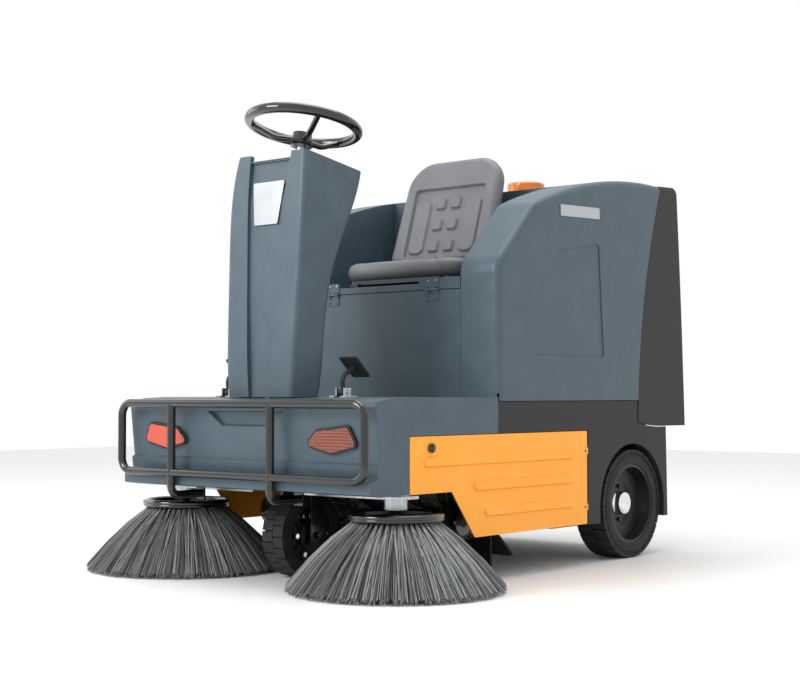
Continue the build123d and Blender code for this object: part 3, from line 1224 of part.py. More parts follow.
with BuildPart() as broom_arm:
    with Locations(((ARM_PIVOT_X + ARM_OUTER_X) / 2 + 20, SIDE_BROOM_Y, ARM_PLATE_Z + ARM_PLATE_T / 2)):
        Box(ARM_OUTER_X - ARM_PIVOT_X - 40, 76, ARM_PLATE_T)
    with Locations(*[(ARM_PIVOT_X + 30, SIDE_BROOM_Y + dy, (ARM_PLATE_Z + ARM_PIVOT_Z) / 2 + 8) for dy in (-34, 34)]):
        Box(86, HANGER_T, ARM_PIVOT_Z - ARM_PLATE_Z + 16)
    with Locations((ARM_PIVOT_X, SIDE_BROOM_Y, ARM_PIVOT_Z)):
        Cylinder(ARM_PIVOT_R, 92, rotation=(90, 0, 0))
    with Locations((SIDE_BROOM_X, SIDE_BROOM_Y, ARM_PLATE_Z)):
        Cylinder(MOTOR_R, 112, align=(Align.CENTER, Align.CENTER, Align.MIN))
    with Locations((SIDE_BROOM_X, SIDE_BROOM_Y, ARM_PLATE_Z)):
        Cylinder(30, 26, align=(Align.CENTER, Align.CENTER, Align.MAX))
        Cylinder(BROOM_SHAFT_R + SHAFT_CLEARANCE, 60, mode=Mode.SUBTRACT)
save_pair(broom_arm, "broom_arm")

with BuildPart() as broom_plate:
    with Locations((SIDE_BROOM_X, SIDE_BROOM_Y, SIDE_BROOM_TOP_Z)):
        Cylinder(SIDE_BROOM_PLATE_R, SIDE_BROOM_PLATE_T - 4, align=(Align.CENTER, Align.CENTER, Align.MIN))
    fillet(broom_plate.edges(), 4.5)
    with Locations((SIDE_BROOM_X, SIDE_BROOM_Y, SIDE_BROOM_TOP_Z)):
        Cylinder(BROOM_SHAFT_R, ARM_PLATE_Z - SIDE_BROOM_TOP_Z + 28, align=(Align.CENTER, Align.CENTER, Align.MIN))
save_pair(broom_plate, "broom_plate")

BRISTLE_INNER_TOP_R = 70.0
BRISTLE_INNER_FOOT_R = 205.0
with BuildPart() as side_bristles:
    with BuildSketch(Plane(origin=(SIDE_BROOM_X, SIDE_BROOM_Y, 0), x_dir=(1, 0, 0), z_dir=(0, -1, 0))):
        Polygon(
            (BRISTLE_INNER_TOP_R, SIDE_BROOM_TOP_Z), (SIDE_BROOM_TOP_R, SIDE_BROOM_TOP_Z),
            (SIDE_BROOM_R, FLOOR_GAP + 6), (SIDE_BROOM_R - 4, FLOOR_GAP), (BRISTLE_INNER_FOOT_R, FLOOR_GAP),
            align=None,
        )
    revolve(axis=Axis((SIDE_BROOM_X, SIDE_BROOM_Y, 0), (0, 0, 1)))
save_pair(side_bristles, "side_bristles")

# ---------------------------------------------------------------- main broom
MAIN_BROOM_Z = MAIN_BROOM_R + FLOOR_GAP
MAIN_ARM_X = 318.0
MAIN_ARM_T = 8.0
MAIN_SPINDLE_R = 12.0
BRISTLE_LENGTH = MAIN_BROOM_LENGTH - 8

with BuildPart() as main_broom_core:
    with Locations((0, MAIN_BROOM_Y, MAIN_BROOM_Z)):
        Cylinder(MAIN_BROOM_CORE_R, MAIN_BROOM_LENGTH, rotation=(0, 90, 0))
        Cylinder(MAIN_SPINDLE_R, 2 * MAIN_ARM_X + 2 * MAIN_ARM_T, rotation=(0, 90, 0))
save(main_broom_core, "main_broom_core")

with BuildPart() as main_bristles:
    with Locations((0, MAIN_BROOM_Y, MAIN_BROOM_Z)):
        Cylinder(MAIN_BROOM_R, BRISTLE_LENGTH, rotation=(0, 90, 0))
        Cylinder(MAIN_BROOM_CORE_R, BRISTLE_LENGTH, rotation=(0, 90, 0), mode=Mode.SUBTRACT)
save(main_bristles, "main_bristles")

with BuildPart() as main_broom_arms:
    for sign in (1, -1):
        arm_x = sign * (MAIN_ARM_X + MAIN_ARM_T / 2)
        with BuildSketch(side_plane(arm_x - MAIN_ARM_T / 2)):
            with Locations((MAIN_BROOM_Y, MAIN_BROOM_Z)):
                Circle(34)
            with Locations((MAIN_PIVOT_Y, MAIN_PIVOT_Z)):
                Circle(24)
            make_hull()
        extrude(amount=MAIN_ARM_T)
        with Locations((sign * (MAIN_ARM_X + 1), MAIN_PIVOT_Y, MAIN_PIVOT_Z)):
            Cylinder(MAIN_PIVOT_R, MAIN_HANGER_X - MAIN_ARM_X + 2, rotation=(0, 90 * sign, 0),
                     align=(Align.CENTER, Align.CENTER, Align.MIN))
        with Locations((arm_x, MAIN_BROOM_Y, MAIN_BROOM_Z)):
            Cylinder(MAIN_SPINDLE_R + SHAFT_CLEARANCE, 40, rotation=(0, 90, 0), mode=Mode.SUBTRACT)
    with Locations((0, MAIN_PIVOT_Y, MAIN_PIVOT_Z)):
        Cylinder(CROSS_TUBE_R, 2 * MAIN_ARM_X + 2, rotation=(0, 90, 0))
    # drive motor on the right-hand arm
    with Locations((-MAIN_ARM_X - MAIN_ARM_T + 1, MAIN_BROOM_Y, MAIN_BROOM_Z)):
        Cylinder(44, 70, rotation=(0, -90, 0), align=(Align.CENTER, Align.CENTER, Align.MIN))
        Cylinder(MAIN_SPINDLE_R + 1, 20, rotation=(0, 90, 0), mode=Mode.SUBTRACT)
save(main_broom_arms, "main_broom_arms")

# ---------------------------------------------------------------- rubber flaps behind the main broom
with BuildPart() as broom_flaps:
    with Locations((0, FLAP_Y - FLAP_T / 2, (FLAP_FOOT_Z + FLAP_TOP_Z) / 2)):
        Box(2 * FLAP_X, FLAP_T, FLAP_TOP_Z - FLAP_FOOT_Z)
    with BuildSketch(side_plane(0)):
        with BuildLine():
            Polyline(
                (LIP_FLAP_Y, 98), (LIP_FLAP_Y, 128), (LIP_FLAP_Y + FLAP_T, 128), (LIP_FLAP_Y + FLAP_T, 100),
                (LIP_FLAP_Y + 78, 36), (LIP_FLAP_Y + 73, 31), close=True,
            )
        make_face()
    extrude(amount=FLAP_X, both=True)
save(broom_flaps, "broom_flaps")

# ---------------------------------------------------------------- dust hopper, filter and fan
HOPPER_HALF = SIDE_PLATE_X - SIDE_PLATE_T - 3.0
FAN_Y = 480.0
FAN_R = 120.0

with BuildPart() as dust_hopper:
    hopper_mid = (HOPPER_FRONT_Y + HOPPER_REAR_Y) / 2
    hopper_length = HOPPER_REAR_Y - HOPPER_FRONT_Y
    with Locations((0, hopper_mid, (HOPPER_BOTTOM_Z + HOPPER_TOP_Z) / 2)):
        Box(2 * HOPPER_HALF, hopper_length, HOPPER_TOP_Z - HOPPER_BOTTOM_Z)
        Box(
            2 * (HOPPER_HALF - HOPPER_WALL),
            hopper_length - 2 * HOPPER_WALL,
            HOPPER_TOP_Z - HOPPER_BOTTOM_Z - 2 * HOPPER_WALL,
            mode=Mode.SUBTRACT,
        )
    # open mouth towards the main broom and open top below the filter
    with Locations((0, HOPPER_FRONT_Y, (HOPPER_BOTTOM_Z + HOPPER_TOP_Z) / 2 + 12)):
        Box(2 * (HOPPER_HALF - 12), 20, HOPPER_TOP_Z - HOPPER_BOTTOM_Z - 40, mode=Mode.SUBTRACT)
    with Locations((0, FAN_Y, HOPPER_TOP_Z)):
        Box(400, 260, 20, mode=Mode.SUBTRACT)
    # pull handle on the back
    for sign in (1, -1):
        with Locations((sign * 90, HOPPER_REAR_Y + 12, 300)):
            Box(14, 28, 14)
    with Locations((0, HOPPER_REAR_Y + 22, 300)):
        Cylinder(8, 206, rotation=(0, 90, 0))
save(dust_hopper, "dust_hopper")

with BuildPart() as dust_filter:
    with Locations((0, FAN_Y, HOPPER_TOP_Z + 2)):
        Box(440, 300, 30, align=(Align.CENTER, Align.CENTER, Align.MIN))
    with Locations((0, FAN_Y, RAIL_Z)):
        Box(CROSS_LENGTH, 300, 8)
    with Locations((0, FAN_Y, HOPPER_TOP_Z + 32)):
        Box(380, 240, 44, align=(Align.CENTER, Align.CENTER, Align.MIN))
save(dust_filter, "dust_filter")

with BuildPart() as suction_fan:
    with Locations((0, FAN_Y, HOPPER_TOP_Z + 76)):
        Cylinder(FAN_R, 90, align=(Align.CENTER, Align.CENTER, Align.MIN))
        Box(FAN_R, 2 * FAN_R + 60, 70, align=(Align.MIN, Align.MIN, Align.MIN))
    with Locations((0, FAN_Y, HOPPER_TOP_Z + 166)):
        Cylinder(60, 90, align=(Align.CENTER, Align.CENTER, Align.MIN))
save(suction_fan, "suction_fan")
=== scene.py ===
"""Ride-on floor sweeper: finishes, tyres, brooms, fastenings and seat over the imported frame.

The frame is in metres, +Z up, front at -Y. Sizes that a comment or docstring gives in mm are
turned to metres with MM where a mesh is made.
"""
import json
from math import cos, exp, pi, radians, sin, sqrt

import bpy
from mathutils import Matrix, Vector


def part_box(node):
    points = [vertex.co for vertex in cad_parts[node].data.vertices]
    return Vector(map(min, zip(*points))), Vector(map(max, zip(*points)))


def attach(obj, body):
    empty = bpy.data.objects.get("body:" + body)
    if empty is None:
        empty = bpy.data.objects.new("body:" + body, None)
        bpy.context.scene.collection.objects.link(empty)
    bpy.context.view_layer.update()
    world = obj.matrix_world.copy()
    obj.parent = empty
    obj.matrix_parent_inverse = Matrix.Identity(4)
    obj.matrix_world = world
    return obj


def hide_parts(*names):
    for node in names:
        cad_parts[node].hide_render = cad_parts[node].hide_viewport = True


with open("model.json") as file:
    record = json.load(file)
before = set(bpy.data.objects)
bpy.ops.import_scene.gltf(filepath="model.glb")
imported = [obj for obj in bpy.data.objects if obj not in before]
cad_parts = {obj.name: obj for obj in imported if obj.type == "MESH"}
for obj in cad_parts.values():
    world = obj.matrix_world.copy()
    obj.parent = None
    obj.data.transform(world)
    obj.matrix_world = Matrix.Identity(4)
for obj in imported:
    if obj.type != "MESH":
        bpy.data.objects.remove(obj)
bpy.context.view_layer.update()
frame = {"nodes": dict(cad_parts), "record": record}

MM = 0.001
TURN = 2 * pi
SIDES = ((1, "left"), (-1, "right"))      # sign along X and name of each side

# ---------------------------------------------------------------- nodes
MATH, NOISE, COMBINE, SEPARATE = (
    "ShaderNodeMath", "ShaderNodeTexNoise", "ShaderNodeCombineXYZ", "ShaderNodeSeparateXYZ")


def feed(node, inputs):
    """Gives each input, keyed by name or number, a plain value or a link from a socket."""
    for key, value in inputs.items():
        if isinstance(value, bpy.types.NodeSocket):
            node.id_data.links.new(value, node.inputs[key])
        else:
            node.inputs[key].default_value = value


def add_node(tree, kind, inputs=None, output=0, **settings):
    """Adds one node with its settings and inputs, and returns the output that is asked for.

    A Mix node has its factor at input 0, colours at 6 and 7 and vectors at 4 and 5, with the
    mixed colour at output 2 and the mixed vector at output 1.
    """
    node = tree.nodes.new(kind)
    for key, value in settings.items():
        setattr(node, key, value)
    feed(node, inputs or {})
    return node.outputs[output]


def in_use(sockets, name):
    """The socket of that name that fits the node's data type."""
    return next(socket for socket in sockets if socket.name == name and socket.enabled)


# ---------------------------------------------------------------- finishes
EDGE_ROUNDING = 1.2           # mm, catches the light along edges
COAT_ROUGHNESS = 0.08
DUST_FROM, DUST_TO = 0.42, 0.75       # noise levels between which the second colour comes in


def srgb(text):
    """Linear colour from an sRGB hex value."""
    parts = [int(text[i:i + 2], 16) / 255 for i in (1, 3, 5)]
    return [p / 12.92 if p <= 0.04045 else ((p + 0.055) / 1.055) ** 2.4 for p in parts] + [1.0]


def finish(name, colour, rough, second=None, metallic=0.0, coat=0.0, grain=0.8, bump=0.02,
           blotch=60.0, transmission=0.0):
    """Finish with a fine surface grain and broad, faint variation in colour and shine.

    grain and blotch are pattern sizes and bump is the grain's depth, in mm. Real grain is often
    finer than 0.8 mm, and is drawn that coarse so that it shows. second is the colour of the
    worn or dusty areas. The default IOR of 1.5 suits paints, plastics and rubber.
    """
    made = bpy.data.materials.new(name)
    made.use_nodes = True
    tree = made.node_tree
    place = add_node(tree, "ShaderNodeTexCoord", output="Object")
    broad = add_node(tree, NOISE, {"Vector": place, "Scale": 1 / (blotch * MM), "Detail": 4.0})
    fine = add_node(tree, NOISE, {"Vector": place, "Scale": 1 / (grain * MM), "Detail": 2.0})
    dust = add_node(tree, "ShaderNodeMapRange",
                    {"Value": broad, "From Min": DUST_FROM, "From Max": DUST_TO})
    base = add_node(tree, "ShaderNodeMix", {0: dust, 6: srgb(colour), 7: srgb(second or colour)},
                    output=2, data_type="RGBA")
    shine = add_node(tree, "ShaderNodeMapRange",
                     {"Value": broad, "To Min": max(rough - 0.05, 0.03),
                      "To Max": min(rough + 0.09, 1.0)})
    rounded = add_node(tree, "ShaderNodeBevel", {"Radius": EDGE_ROUNDING * MM}, samples=4)
    bumped = add_node(tree, "ShaderNodeBump", {"Height": fine, "Normal": rounded,
                                               "Strength": 0.6, "Distance": bump * MM})
    feed(tree.nodes["Principled BSDF"], {
        "Base Color": base, "Roughness": shine, "Normal": bumped, "Metallic": metallic,
        "Coat Weight": coat, "Coat Roughness": COAT_ROUGHNESS,
        "Transmission Weight": transmission})
    return made


finishes = {
    # powder-coated steel sheet: an even satin, with road dust as faint broad patches
    "grey_paint": finish("powder_coated_steel_grey", "#3F515C", 0.42, "#465863", bump=0.03),
    # rotationally moulded polyethylene: the same colour, with a finer and deeper grain
    "grey_shell": finish("moulded_polyethylene_grey", "#3F515C", 0.42, "#475964", grain=0.6,
                         bump=0.04),
    # powder coat on the side doors: a warm, slightly glossier satin
    "orange_paint": finish("powder_coated_steel_orange", "#FFA626", 0.38, "#FFAC35", bump=0.03),
    # gloss powder coat on tube and plate: sharp highlights along the tubes
    "black_frame": finish("gloss_powder_coat_black", "#101112", 0.16, coat=0.6, bump=0.01),
    # grained ABS covers: a dull, soft highlight
    "dark_plastic": finish("grained_abs_dark_grey", "#1D1D1E", 0.58, "#232324", grain=0.7,
                           bump=0.05),
    # polished ABS: a near mirror black
    "gloss_black": finish("polished_abs_black", "#0D0D0E", 0.1, coat=0.7, bump=0.005),
    # solid tyre rubber: matt, with grey-brown dust in patches
    "tyre_rubber": finish("solid_tyre_rubber", "#19191A", 0.72, "#2A2927", grain=1.2, bump=0.12,
                          blotch=40),
    # sheet rubber for the flaps and pedal pads: matt and evenly grained
    "flap_rubber": finish("sheet_rubber_black", "#1B1B1C", 0.65, "#262524", bump=0.06),
    # painted steel pressing: a semi-gloss black
    "wheel_rim": finish("painted_wheel_black", "#131314", 0.35, bump=0.03),
    # zinc-plated steel: bright, with a faint cloudiness
    "zinc_steel": finish("zinc_plated_steel", "#C3C6C8", 0.3, "#AEB2B4", metallic=1.0,
                         bump=0.01, blotch=15),
    # oiled roller chain: dark metal with a soft shine
    "chain_steel": finish("oiled_chain_steel", "#55575A", 0.32, metallic=1.0),
    # chrome plate on hub caps and nuts: clear reflections
    "chrome": finish("chrome_plate", "#E4E6E8", 0.07, metallic=1.0, bump=0.002),
    # moulded polypropylene battery cases: a plain low sheen
    "battery_case": finish("polypropylene_battery_case", "#26272A", 0.5),
    # pleated filter paper: matt and off-white
    "filter_paper": finish("filter_paper", "#CFC7B2", 0.85, "#B9B19B"),
    # blank satin aluminium plates: a soft metallic sheen
    "badge_plate": finish("satin_aluminium", "#B9BCBF", 0.3, metallic=1.0, grain=0.3),
    # moulded acrylic beacon: glossy, and lets a little light through
    "beacon_amber": finish("amber_acrylic_beacon", "#F0801E", 0.12, "#F38A2A", coat=0.5,
                           transmission=0.25),
    # polished ABS stop button: glossy red
    "red_plastic": finish("red_abs_button", "#C01A14", 0.25, coat=0.4),
    # grained vinyl over foam: a soft sheen broken up by the grain
    "seat_vinyl": finish("grained_seat_vinyl", "#65676A", 0.42, "#6D6F72", grain=1.1, bump=0.14,
                         blotch=90),
    # drawn polypropylene bristles: smooth strands with a low sheen
    "bristle_nylon": finish("polypropylene_bristle", "#2B2C2E", 0.42, bump=0.0),
    # moulded acrylic lenses: glossy, and lets a little light through
    "amber_lens": finish("ribbed_acrylic_lens", "#A8571C", 0.14, "#B4611F", coat=0.6,
                         transmission=0.15),
}

# the right lens is plain red-orange and the left one is a ribbed amber-brown
tree = finishes["amber_lens"].node_tree
across = add_node(tree, SEPARATE, {0: add_node(tree, "ShaderNodeTexCoord", output="Object")},
                  output="X")
on_left = add_node(tree, MATH, {0: across, 1: 0.0}, operation="GREATER_THAN")
lens = add_node(tree, "ShaderNodeMix", {0: on_left, 6: srgb("#D8401A"), 7: srgb("#8A3A16")},
                output=2, data_type="RGBA")
feed(tree.nodes["Principled BSDF"], {"Base Color": lens})

# every strand has its own shade, with few pale ones
tree = finishes["bristle_nylon"].node_tree
shade = add_node(tree, "ShaderNodeAttribute", output="Fac", attribute_name="shade")
pale = add_node(tree, MATH, {0: shade, 1: 1.5}, operation="POWER")
tone = add_node(tree, "ShaderNodeMix", {0: pale, 6: srgb("#242527"), 7: srgb("#C4C7CA")},
                output=2, data_type="RGBA")
feed(tree.nodes["Principled BSDF"], {"Base Color": tone})

slots = {part["node"]: part["material_slot"] for part in frame["record"]["subparts"]}
for node, cad in frame["nodes"].items():
    cad.data.materials.clear()
    cad.data.materials.append(finishes[slots[node]])

# ---------------------------------------------------------------- meshes


def outward(mesh):
    """Turns the faces outward when the enclosed volume is negative."""
    mesh.calc_loop_triangles()
    volume = 0.0
    for triangle in mesh.loop_triangles:
        a, b, c = (mesh.vertices[i].co for i in triangle.vertices)
        volume += a.dot(b.cross(c))
    if volume < 0:
        mesh.flip_normals()


def closed_mesh(name, verts, faces, smooth=True):
    mesh = bpy.data.meshes.new(name)
    mesh.from_pydata(verts, [], faces)
    mesh.update()
    outward(mesh)
    if smooth:
        mesh.polygons.foreach_set("use_smooth", [True] * len(mesh.polygons))
    return mesh


def mesh_object(name, verts, faces, slot_name, body, smooth=True, material=None):
    """Visible piece riding on a body, or on none for the stage."""
    mesh = closed_mesh(name, verts, faces, smooth)
    mesh.materials.append(material or finishes[slot_name])
    made = bpy.data.objects.new(name, mesh)
    bpy.context.scene.collection.objects.link(made)
    if body:
        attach(made, body)
    return made


def turned(profile, steps, place):
    """Points and side faces of a profile carried round in steps by place(point, angle)."""
    count = len(profile)
    verts = [place(point, TURN * i / steps) for i in range(steps) for point in profile]
    faces = []
    for i in range(steps):
        here, there = i * count, (i + 1) % steps * count
        faces += [(here + k, here + (k + 1) % count, there + (k + 1) % count, there + k)
                  for k in range(count)]
    return verts, faces


# ---------------------------------------------------------------- repeats


def new_tree(name, inputs):
    """Empty tree with a material and the given inputs, and its input sockets."""
    tree = bpy.data.node_groups.new(name, "GeometryNodeTree")
    tree.interface.new_socket("Geometry", in_out="INPUT", socket_type="NodeSocketGeometry")
    tree.interface.new_socket("Geometry", in_out="OUTPUT", socket_type="NodeSocketGeometry")
    tree.interface.new_socket("Material", in_out="INPUT", socket_type="NodeSocketMaterial")
    for key, kind in inputs.items():
        tree.interface.new_socket(key, in_out="INPUT", socket_type="NodeSocket" + kind)
    return tree, tree.nodes.new("NodeGroupInput").outputs


def close_tree(tree, geometry, sizes):
    """Realizes the instances, sets the material and ends the tree."""
    real = add_node(tree, "GeometryNodeRealizeInstances", {0: geometry})
    painted = add_node(tree, "GeometryNodeSetMaterial",
                       {"Geometry": real, "Material": sizes["Material"]})
    feed(tree.nodes.new("NodeGroupOutput"), {0: painted})


def made_by(tree, name, slot_name, values, body, mesh=None, material=None):
    """Plain mesh from a tree, riding on a body."""
    base = bpy.data.objects.new(name, mesh or bpy.data.meshes.new(name + "_base"))
    bpy.context.scene.collection.objects.link(base)
    modifier = base.modifiers.new("repeat", "NODES")
    modifier.node_group = tree
    values = {**values, "Material": material or finishes[slot_name]}
    for item in tree.interface.items_tree:
        if item.in_out == "INPUT" and item.name in values:
            modifier[item.identifier] = values[item.name]
    graph = bpy.context.evaluated_depsgraph_get()
    plain = bpy.data.meshes.new_from_object(base.evaluated_get(graph), depsgraph=graph,
                                            preserve_all_data_layers=True)
    base.modifiers.clear()
    base.data = plain
    outward(plain)
    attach(base, body)
    return base


def dealt(tree, columns, rows):
    """Column and row of each strand, dealt out one to a column and then to the next row."""
    strand = add_node(tree, "GeometryNodeInputIndex")
    column = add_node(tree, MATH, {0: strand, 1: columns}, operation="MODULO")
    lap = add_node(tree, MATH, {0: strand, 1: columns}, operation="DIVIDE")
    lap = add_node(tree, MATH, {0: lap}, operation="FLOOR")
    return column, add_node(tree, MATH, {0: lap, 1: rows}, operation="MODULO")


def scatter(tree, sizes, draw, low, high):
    """Random amount for each strand. Each draw shifts the tree's own fixed seed."""
    seed = add_node(tree, MATH, {0: sizes["Seed"], 1: draw}, operation="ADD")
    return add_node(tree, "FunctionNodeRandomValue", {2: low, 3: high, 8: seed}, output=1,
                    data_type="FLOAT")


def swung(tree, radius, angle, centres):
    """Two coordinates of a point swung by an angle about a centre, first along the cosine."""
    found = []
    for operation, middle in zip(("COSINE", "SINE"), centres):
        share = add_node(tree, MATH, {0: angle}, operation=operation)
        found.append(add_node(tree, MATH, {0: radius, 1: share, 2: middle},
                              operation="MULTIPLY_ADD"))
    return found


STRAND_POINTS = 4             # along a strand, enough for its slight bow
STRAND_SIDES = 3


def strands(tree, sizes, start, end, bow):
    """Thin strands from start to end, raised by bow at mid length."""
    kept = add_node(tree, "GeometryNodePoints", {"Count": sizes["Count"]})
    for name, value, kind in (
        ("start", start, "FLOAT_VECTOR"), ("end", end, "FLOAT_VECTOR"),
        ("shade", scatter(tree, sizes, 9, 0.0, 1.0), "FLOAT"),
    ):
        kept = add_node(tree, "GeometryNodeStoreNamedAttribute", {"Geometry": kept, "Name": name},
                        data_type=kind, domain="POINT")
        tree.links.new(value, in_use(kept.node.inputs, "Value"))
    line = add_node(tree, "GeometryNodeCurvePrimitiveLine")
    line = add_node(tree, "GeometryNodeResampleCurve", {"Curve": line, "Count": STRAND_POINTS})
    lines = add_node(tree, "GeometryNodeInstanceOnPoints", {"Points": kept, "Instance": line})
    lines = add_node(tree, "GeometryNodeRealizeInstances", {0: lines})
    factor = add_node(tree, "GeometryNodeSplineParameter", output="Factor")
    ends = []
    for name in ("start", "end"):
        read = add_node(tree, "GeometryNodeInputNamedAttribute", {"Name": name},
                        data_type="FLOAT_VECTOR")
        ends.append(in_use(read.node.outputs, "Attribute"))
    straight = add_node(tree, "ShaderNodeMix", {0: factor, 4: ends[0], 5: ends[1]}, output=1,
                        data_type="VECTOR")
    # a parabola that reaches the bow half way along
    rest = add_node(tree, MATH, {0: 1.0, 1: factor}, operation="SUBTRACT")
    arch = add_node(tree, MATH, {0: factor, 1: rest}, operation="MULTIPLY")
    arch = add_node(tree, MATH, {0: arch, 1: 4 * bow}, operation="MULTIPLY")
    lift = add_node(tree, COMBINE, {"Z": arch})
    place = add_node(tree, "ShaderNodeVectorMath", {0: straight, 1: lift}, operation="ADD")
    bent = add_node(tree, "GeometryNodeSetPosition", {"Geometry": lines, "Position": place})
    round_wire = add_node(tree, "GeometryNodeCurvePrimitiveCircle",
                          {"Radius": sizes["Thickness"], "Resolution": STRAND_SIDES})
    return add_node(tree, "GeometryNodeCurveToMesh",
                    {"Curve": bent, "Profile Curve": round_wire, "Fill Caps": True})


# ---------------------------------------------------------------- side brooms
ROOT_LOOSENESS = 0.3          # a tuft's spread at its root, as a share of that at its tips
SIDE_BOW = 12 * MM
RIM_Z, RIM_RADIUS, RIM_TUBE = 186 * MM, 113 * MM, 8 * MM
RIM_STEPS, RIM_SIDES = 96, 16

tree, sizes = new_tree("fan_bristles", {
    "Count": "Int", "Tufts": "Int", "Rings": "Int", "Seed": "Int", "Centre": "Vector",
    "Thickness": "Float", "Root radius": "Float", "Root spread": "Float",
    "Tip radius": "Float", "Tip spread": "Float", "Tip scatter": "Float",
    "Root height": "Float", "Tip height": "Float", "Ragged": "Float", "Fan": "Float",
})
tuft, ring = dealt(tree, sizes["Tufts"], sizes["Rings"])
# each ring of tufts starts half a tuft further round than the last
turn = add_node(tree, MATH, {0: ring, 1: 0.5, 2: tuft}, operation="MULTIPLY_ADD")
turn = add_node(tree, MATH, {0: turn, 1: sizes["Tufts"]}, operation="DIVIDE")
turn = add_node(tree, MATH, {0: turn, 1: TURN}, operation="MULTIPLY")
gaps = add_node(tree, MATH, {0: sizes["Rings"], 1: 1.0}, operation="SUBTRACT")
share = add_node(tree, MATH, {0: ring, 1: gaps}, operation="DIVIDE")
centre = add_node(tree, SEPARATE, {0: sizes["Centre"]}).node.outputs
tip_scatter = scatter(tree, sizes, 3, sizes["Tip scatter"], 0.0)
tip_z = add_node(tree, MATH, {0: sizes["Tip height"],
                              1: scatter(tree, sizes, 4, 0.0, sizes["Ragged"])}, operation="ADD")
ends = []
for end_name, draw, loose, height in (("Root", 1, ROOT_LOOSENESS, sizes["Root height"]),
                                      ("Tip", 2, 1.0, tip_z)):
    angle = add_node(tree, MATH, {0: scatter(tree, sizes, draw, -loose, loose), 1: sizes["Fan"],
                                  2: turn}, operation="MULTIPLY_ADD")
    radius = add_node(tree, MATH, {0: share, 1: sizes[end_name + " spread"],
                                   2: sizes[end_name + " radius"]}, operation="MULTIPLY_ADD")
    if end_name == "Tip":
        radius = add_node(tree, MATH, {0: radius, 1: tip_scatter}, operation="ADD")
    x, y = swung(tree, radius, angle, (centre["X"], centre["Y"]))
    ends.append(add_node(tree, COMBINE, {"X": x, "Y": y, "Z": height}))
close_tree(tree, strands(tree, sizes, *ends, SIDE_BOW), sizes)

for sign, side in SIDES:
    low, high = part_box(f"side_bristles_{side}")
    made = made_by(tree, f"bristle_fans_{side}", "bristle_nylon", {
        "Count": 7200, "Tufts": 48, "Rings": 3, "Seed": 7 + sign, "Thickness": 0.75 * MM,
        "Centre": ((low.x + high.x) / 2, (low.y + high.y) / 2, 0.0),
        "Root radius": 84 * MM, "Root spread": 22 * MM,
        "Tip radius": 205 * MM, "Tip spread": 68 * MM, "Tip scatter": -12 * MM,
        "Root height": high.z - 2 * MM, "Tip height": low.z, "Ragged": 16 * MM, "Fan": 0.1,
    }, f"side_broom_{side}")
    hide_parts(f"side_bristles_{side}")

# rolled rim on top of each broom's plate
rim_section = [(RIM_RADIUS + RIM_TUBE * cos(TURN * k / RIM_SIDES),
                RIM_Z + RIM_TUBE * sin(TURN * k / RIM_SIDES)) for k in range(RIM_SIDES)]
for sign, side in SIDES:
    low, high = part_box(f"broom_plate_{side}")
    mid_x, mid_y = (low.x + high.x) / 2, (low.y + high.y) / 2
    verts, faces = turned(rim_section, RIM_STEPS, lambda point, angle: (
        mid_x + point[0] * cos(angle), mid_y + point[0] * sin(angle), point[1]))
    mesh_object(f"broom_rim_{side}", verts, faces, "gloss_black", f"side_broom_{side}")

# ---------------------------------------------------------------- main broom
END_CLEARANCE = 8 * MM        # between the outer tufts and each end of the roller
ROOT_FAN, TIP_FAN = 0.02, 0.07        # radians a strand strays round the roller
SHIFT_SHARE = 0.08            # metres it strays along the roller for each radian round it

tree, sizes = new_tree("roller_bristles", {
    "Count": "Int", "Rows": "Int", "Tufts": "Int", "Seed": "Int", "Centre": "Vector",
    "Thickness": "Float", "Length": "Float", "Core radius": "Float", "Tip radius": "Float",
    "Twist": "Float", "Ragged": "Float",
})
row, tuft = dealt(tree, sizes["Rows"], sizes["Tufts"])
along = add_node(tree, MATH, {0: tuft, 1: 0.5}, operation="ADD")
along = add_node(tree, MATH, {0: along, 1: sizes["Tufts"]}, operation="DIVIDE")
along = add_node(tree, MATH, {0: along, 1: 0.5}, operation="SUBTRACT")
# the rows sweep back from the middle towards both ends, in a chevron
swirl = add_node(tree, MATH, {0: along}, operation="ABSOLUTE")
swirl = add_node(tree, MATH, {0: swirl, 1: sizes["Twist"]}, operation="MULTIPLY")
turn = add_node(tree, MATH, {0: row, 1: sizes["Rows"]}, operation="DIVIDE")
turn = add_node(tree, MATH, {0: turn, 1: TURN, 2: swirl}, operation="MULTIPLY_ADD")
centre = add_node(tree, SEPARATE, {0: sizes["Centre"]}).node.outputs
tip_radius = add_node(tree, MATH, {0: sizes["Tip radius"],
                                   1: scatter(tree, sizes, 3, 0.0, sizes["Ragged"])},
                      operation="SUBTRACT")
ends = []
for radius, stray, draw in ((sizes["Core radius"], ROOT_FAN, 1), (tip_radius, TIP_FAN, 5)):
    angle = add_node(tree, MATH, {0: turn, 1: scatter(tree, sizes, draw, -stray, stray)},
                     operation="ADD")
    shift = scatter(tree, sizes, draw + 20, -SHIFT_SHARE * stray, SHIFT_SHARE * stray)
    x = add_node(tree, MATH, {0: along, 1: sizes["Length"], 2: shift}, operation="MULTIPLY_ADD")
    y, z = swung(tree, radius, angle, (centre["Y"], centre["Z"]))
    ends.append(add_node(tree, COMBINE, {"X": x, "Y": y, "Z": z}))
close_tree(tree, strands(tree, sizes, *ends, 0.0), sizes)

low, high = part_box("main_bristles")
made = made_by(tree, "roller_bristles", "bristle_nylon", {
    "Count": 6600, "Rows": 12, "Tufts": 55, "Seed": 3, "Thickness": 0.9 * MM,
    "Length": high.x - low.x - 2 * END_CLEARANCE,
    "Centre": (0.0, (low.y + high.y) / 2, (low.z + high.z) / 2),
    "Core radius": 53 * MM, "Tip radius": (high.z - low.z) / 2, "Twist": 1.6, "Ragged": 5 * MM,
}, "main_broom")
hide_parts("main_bristles")

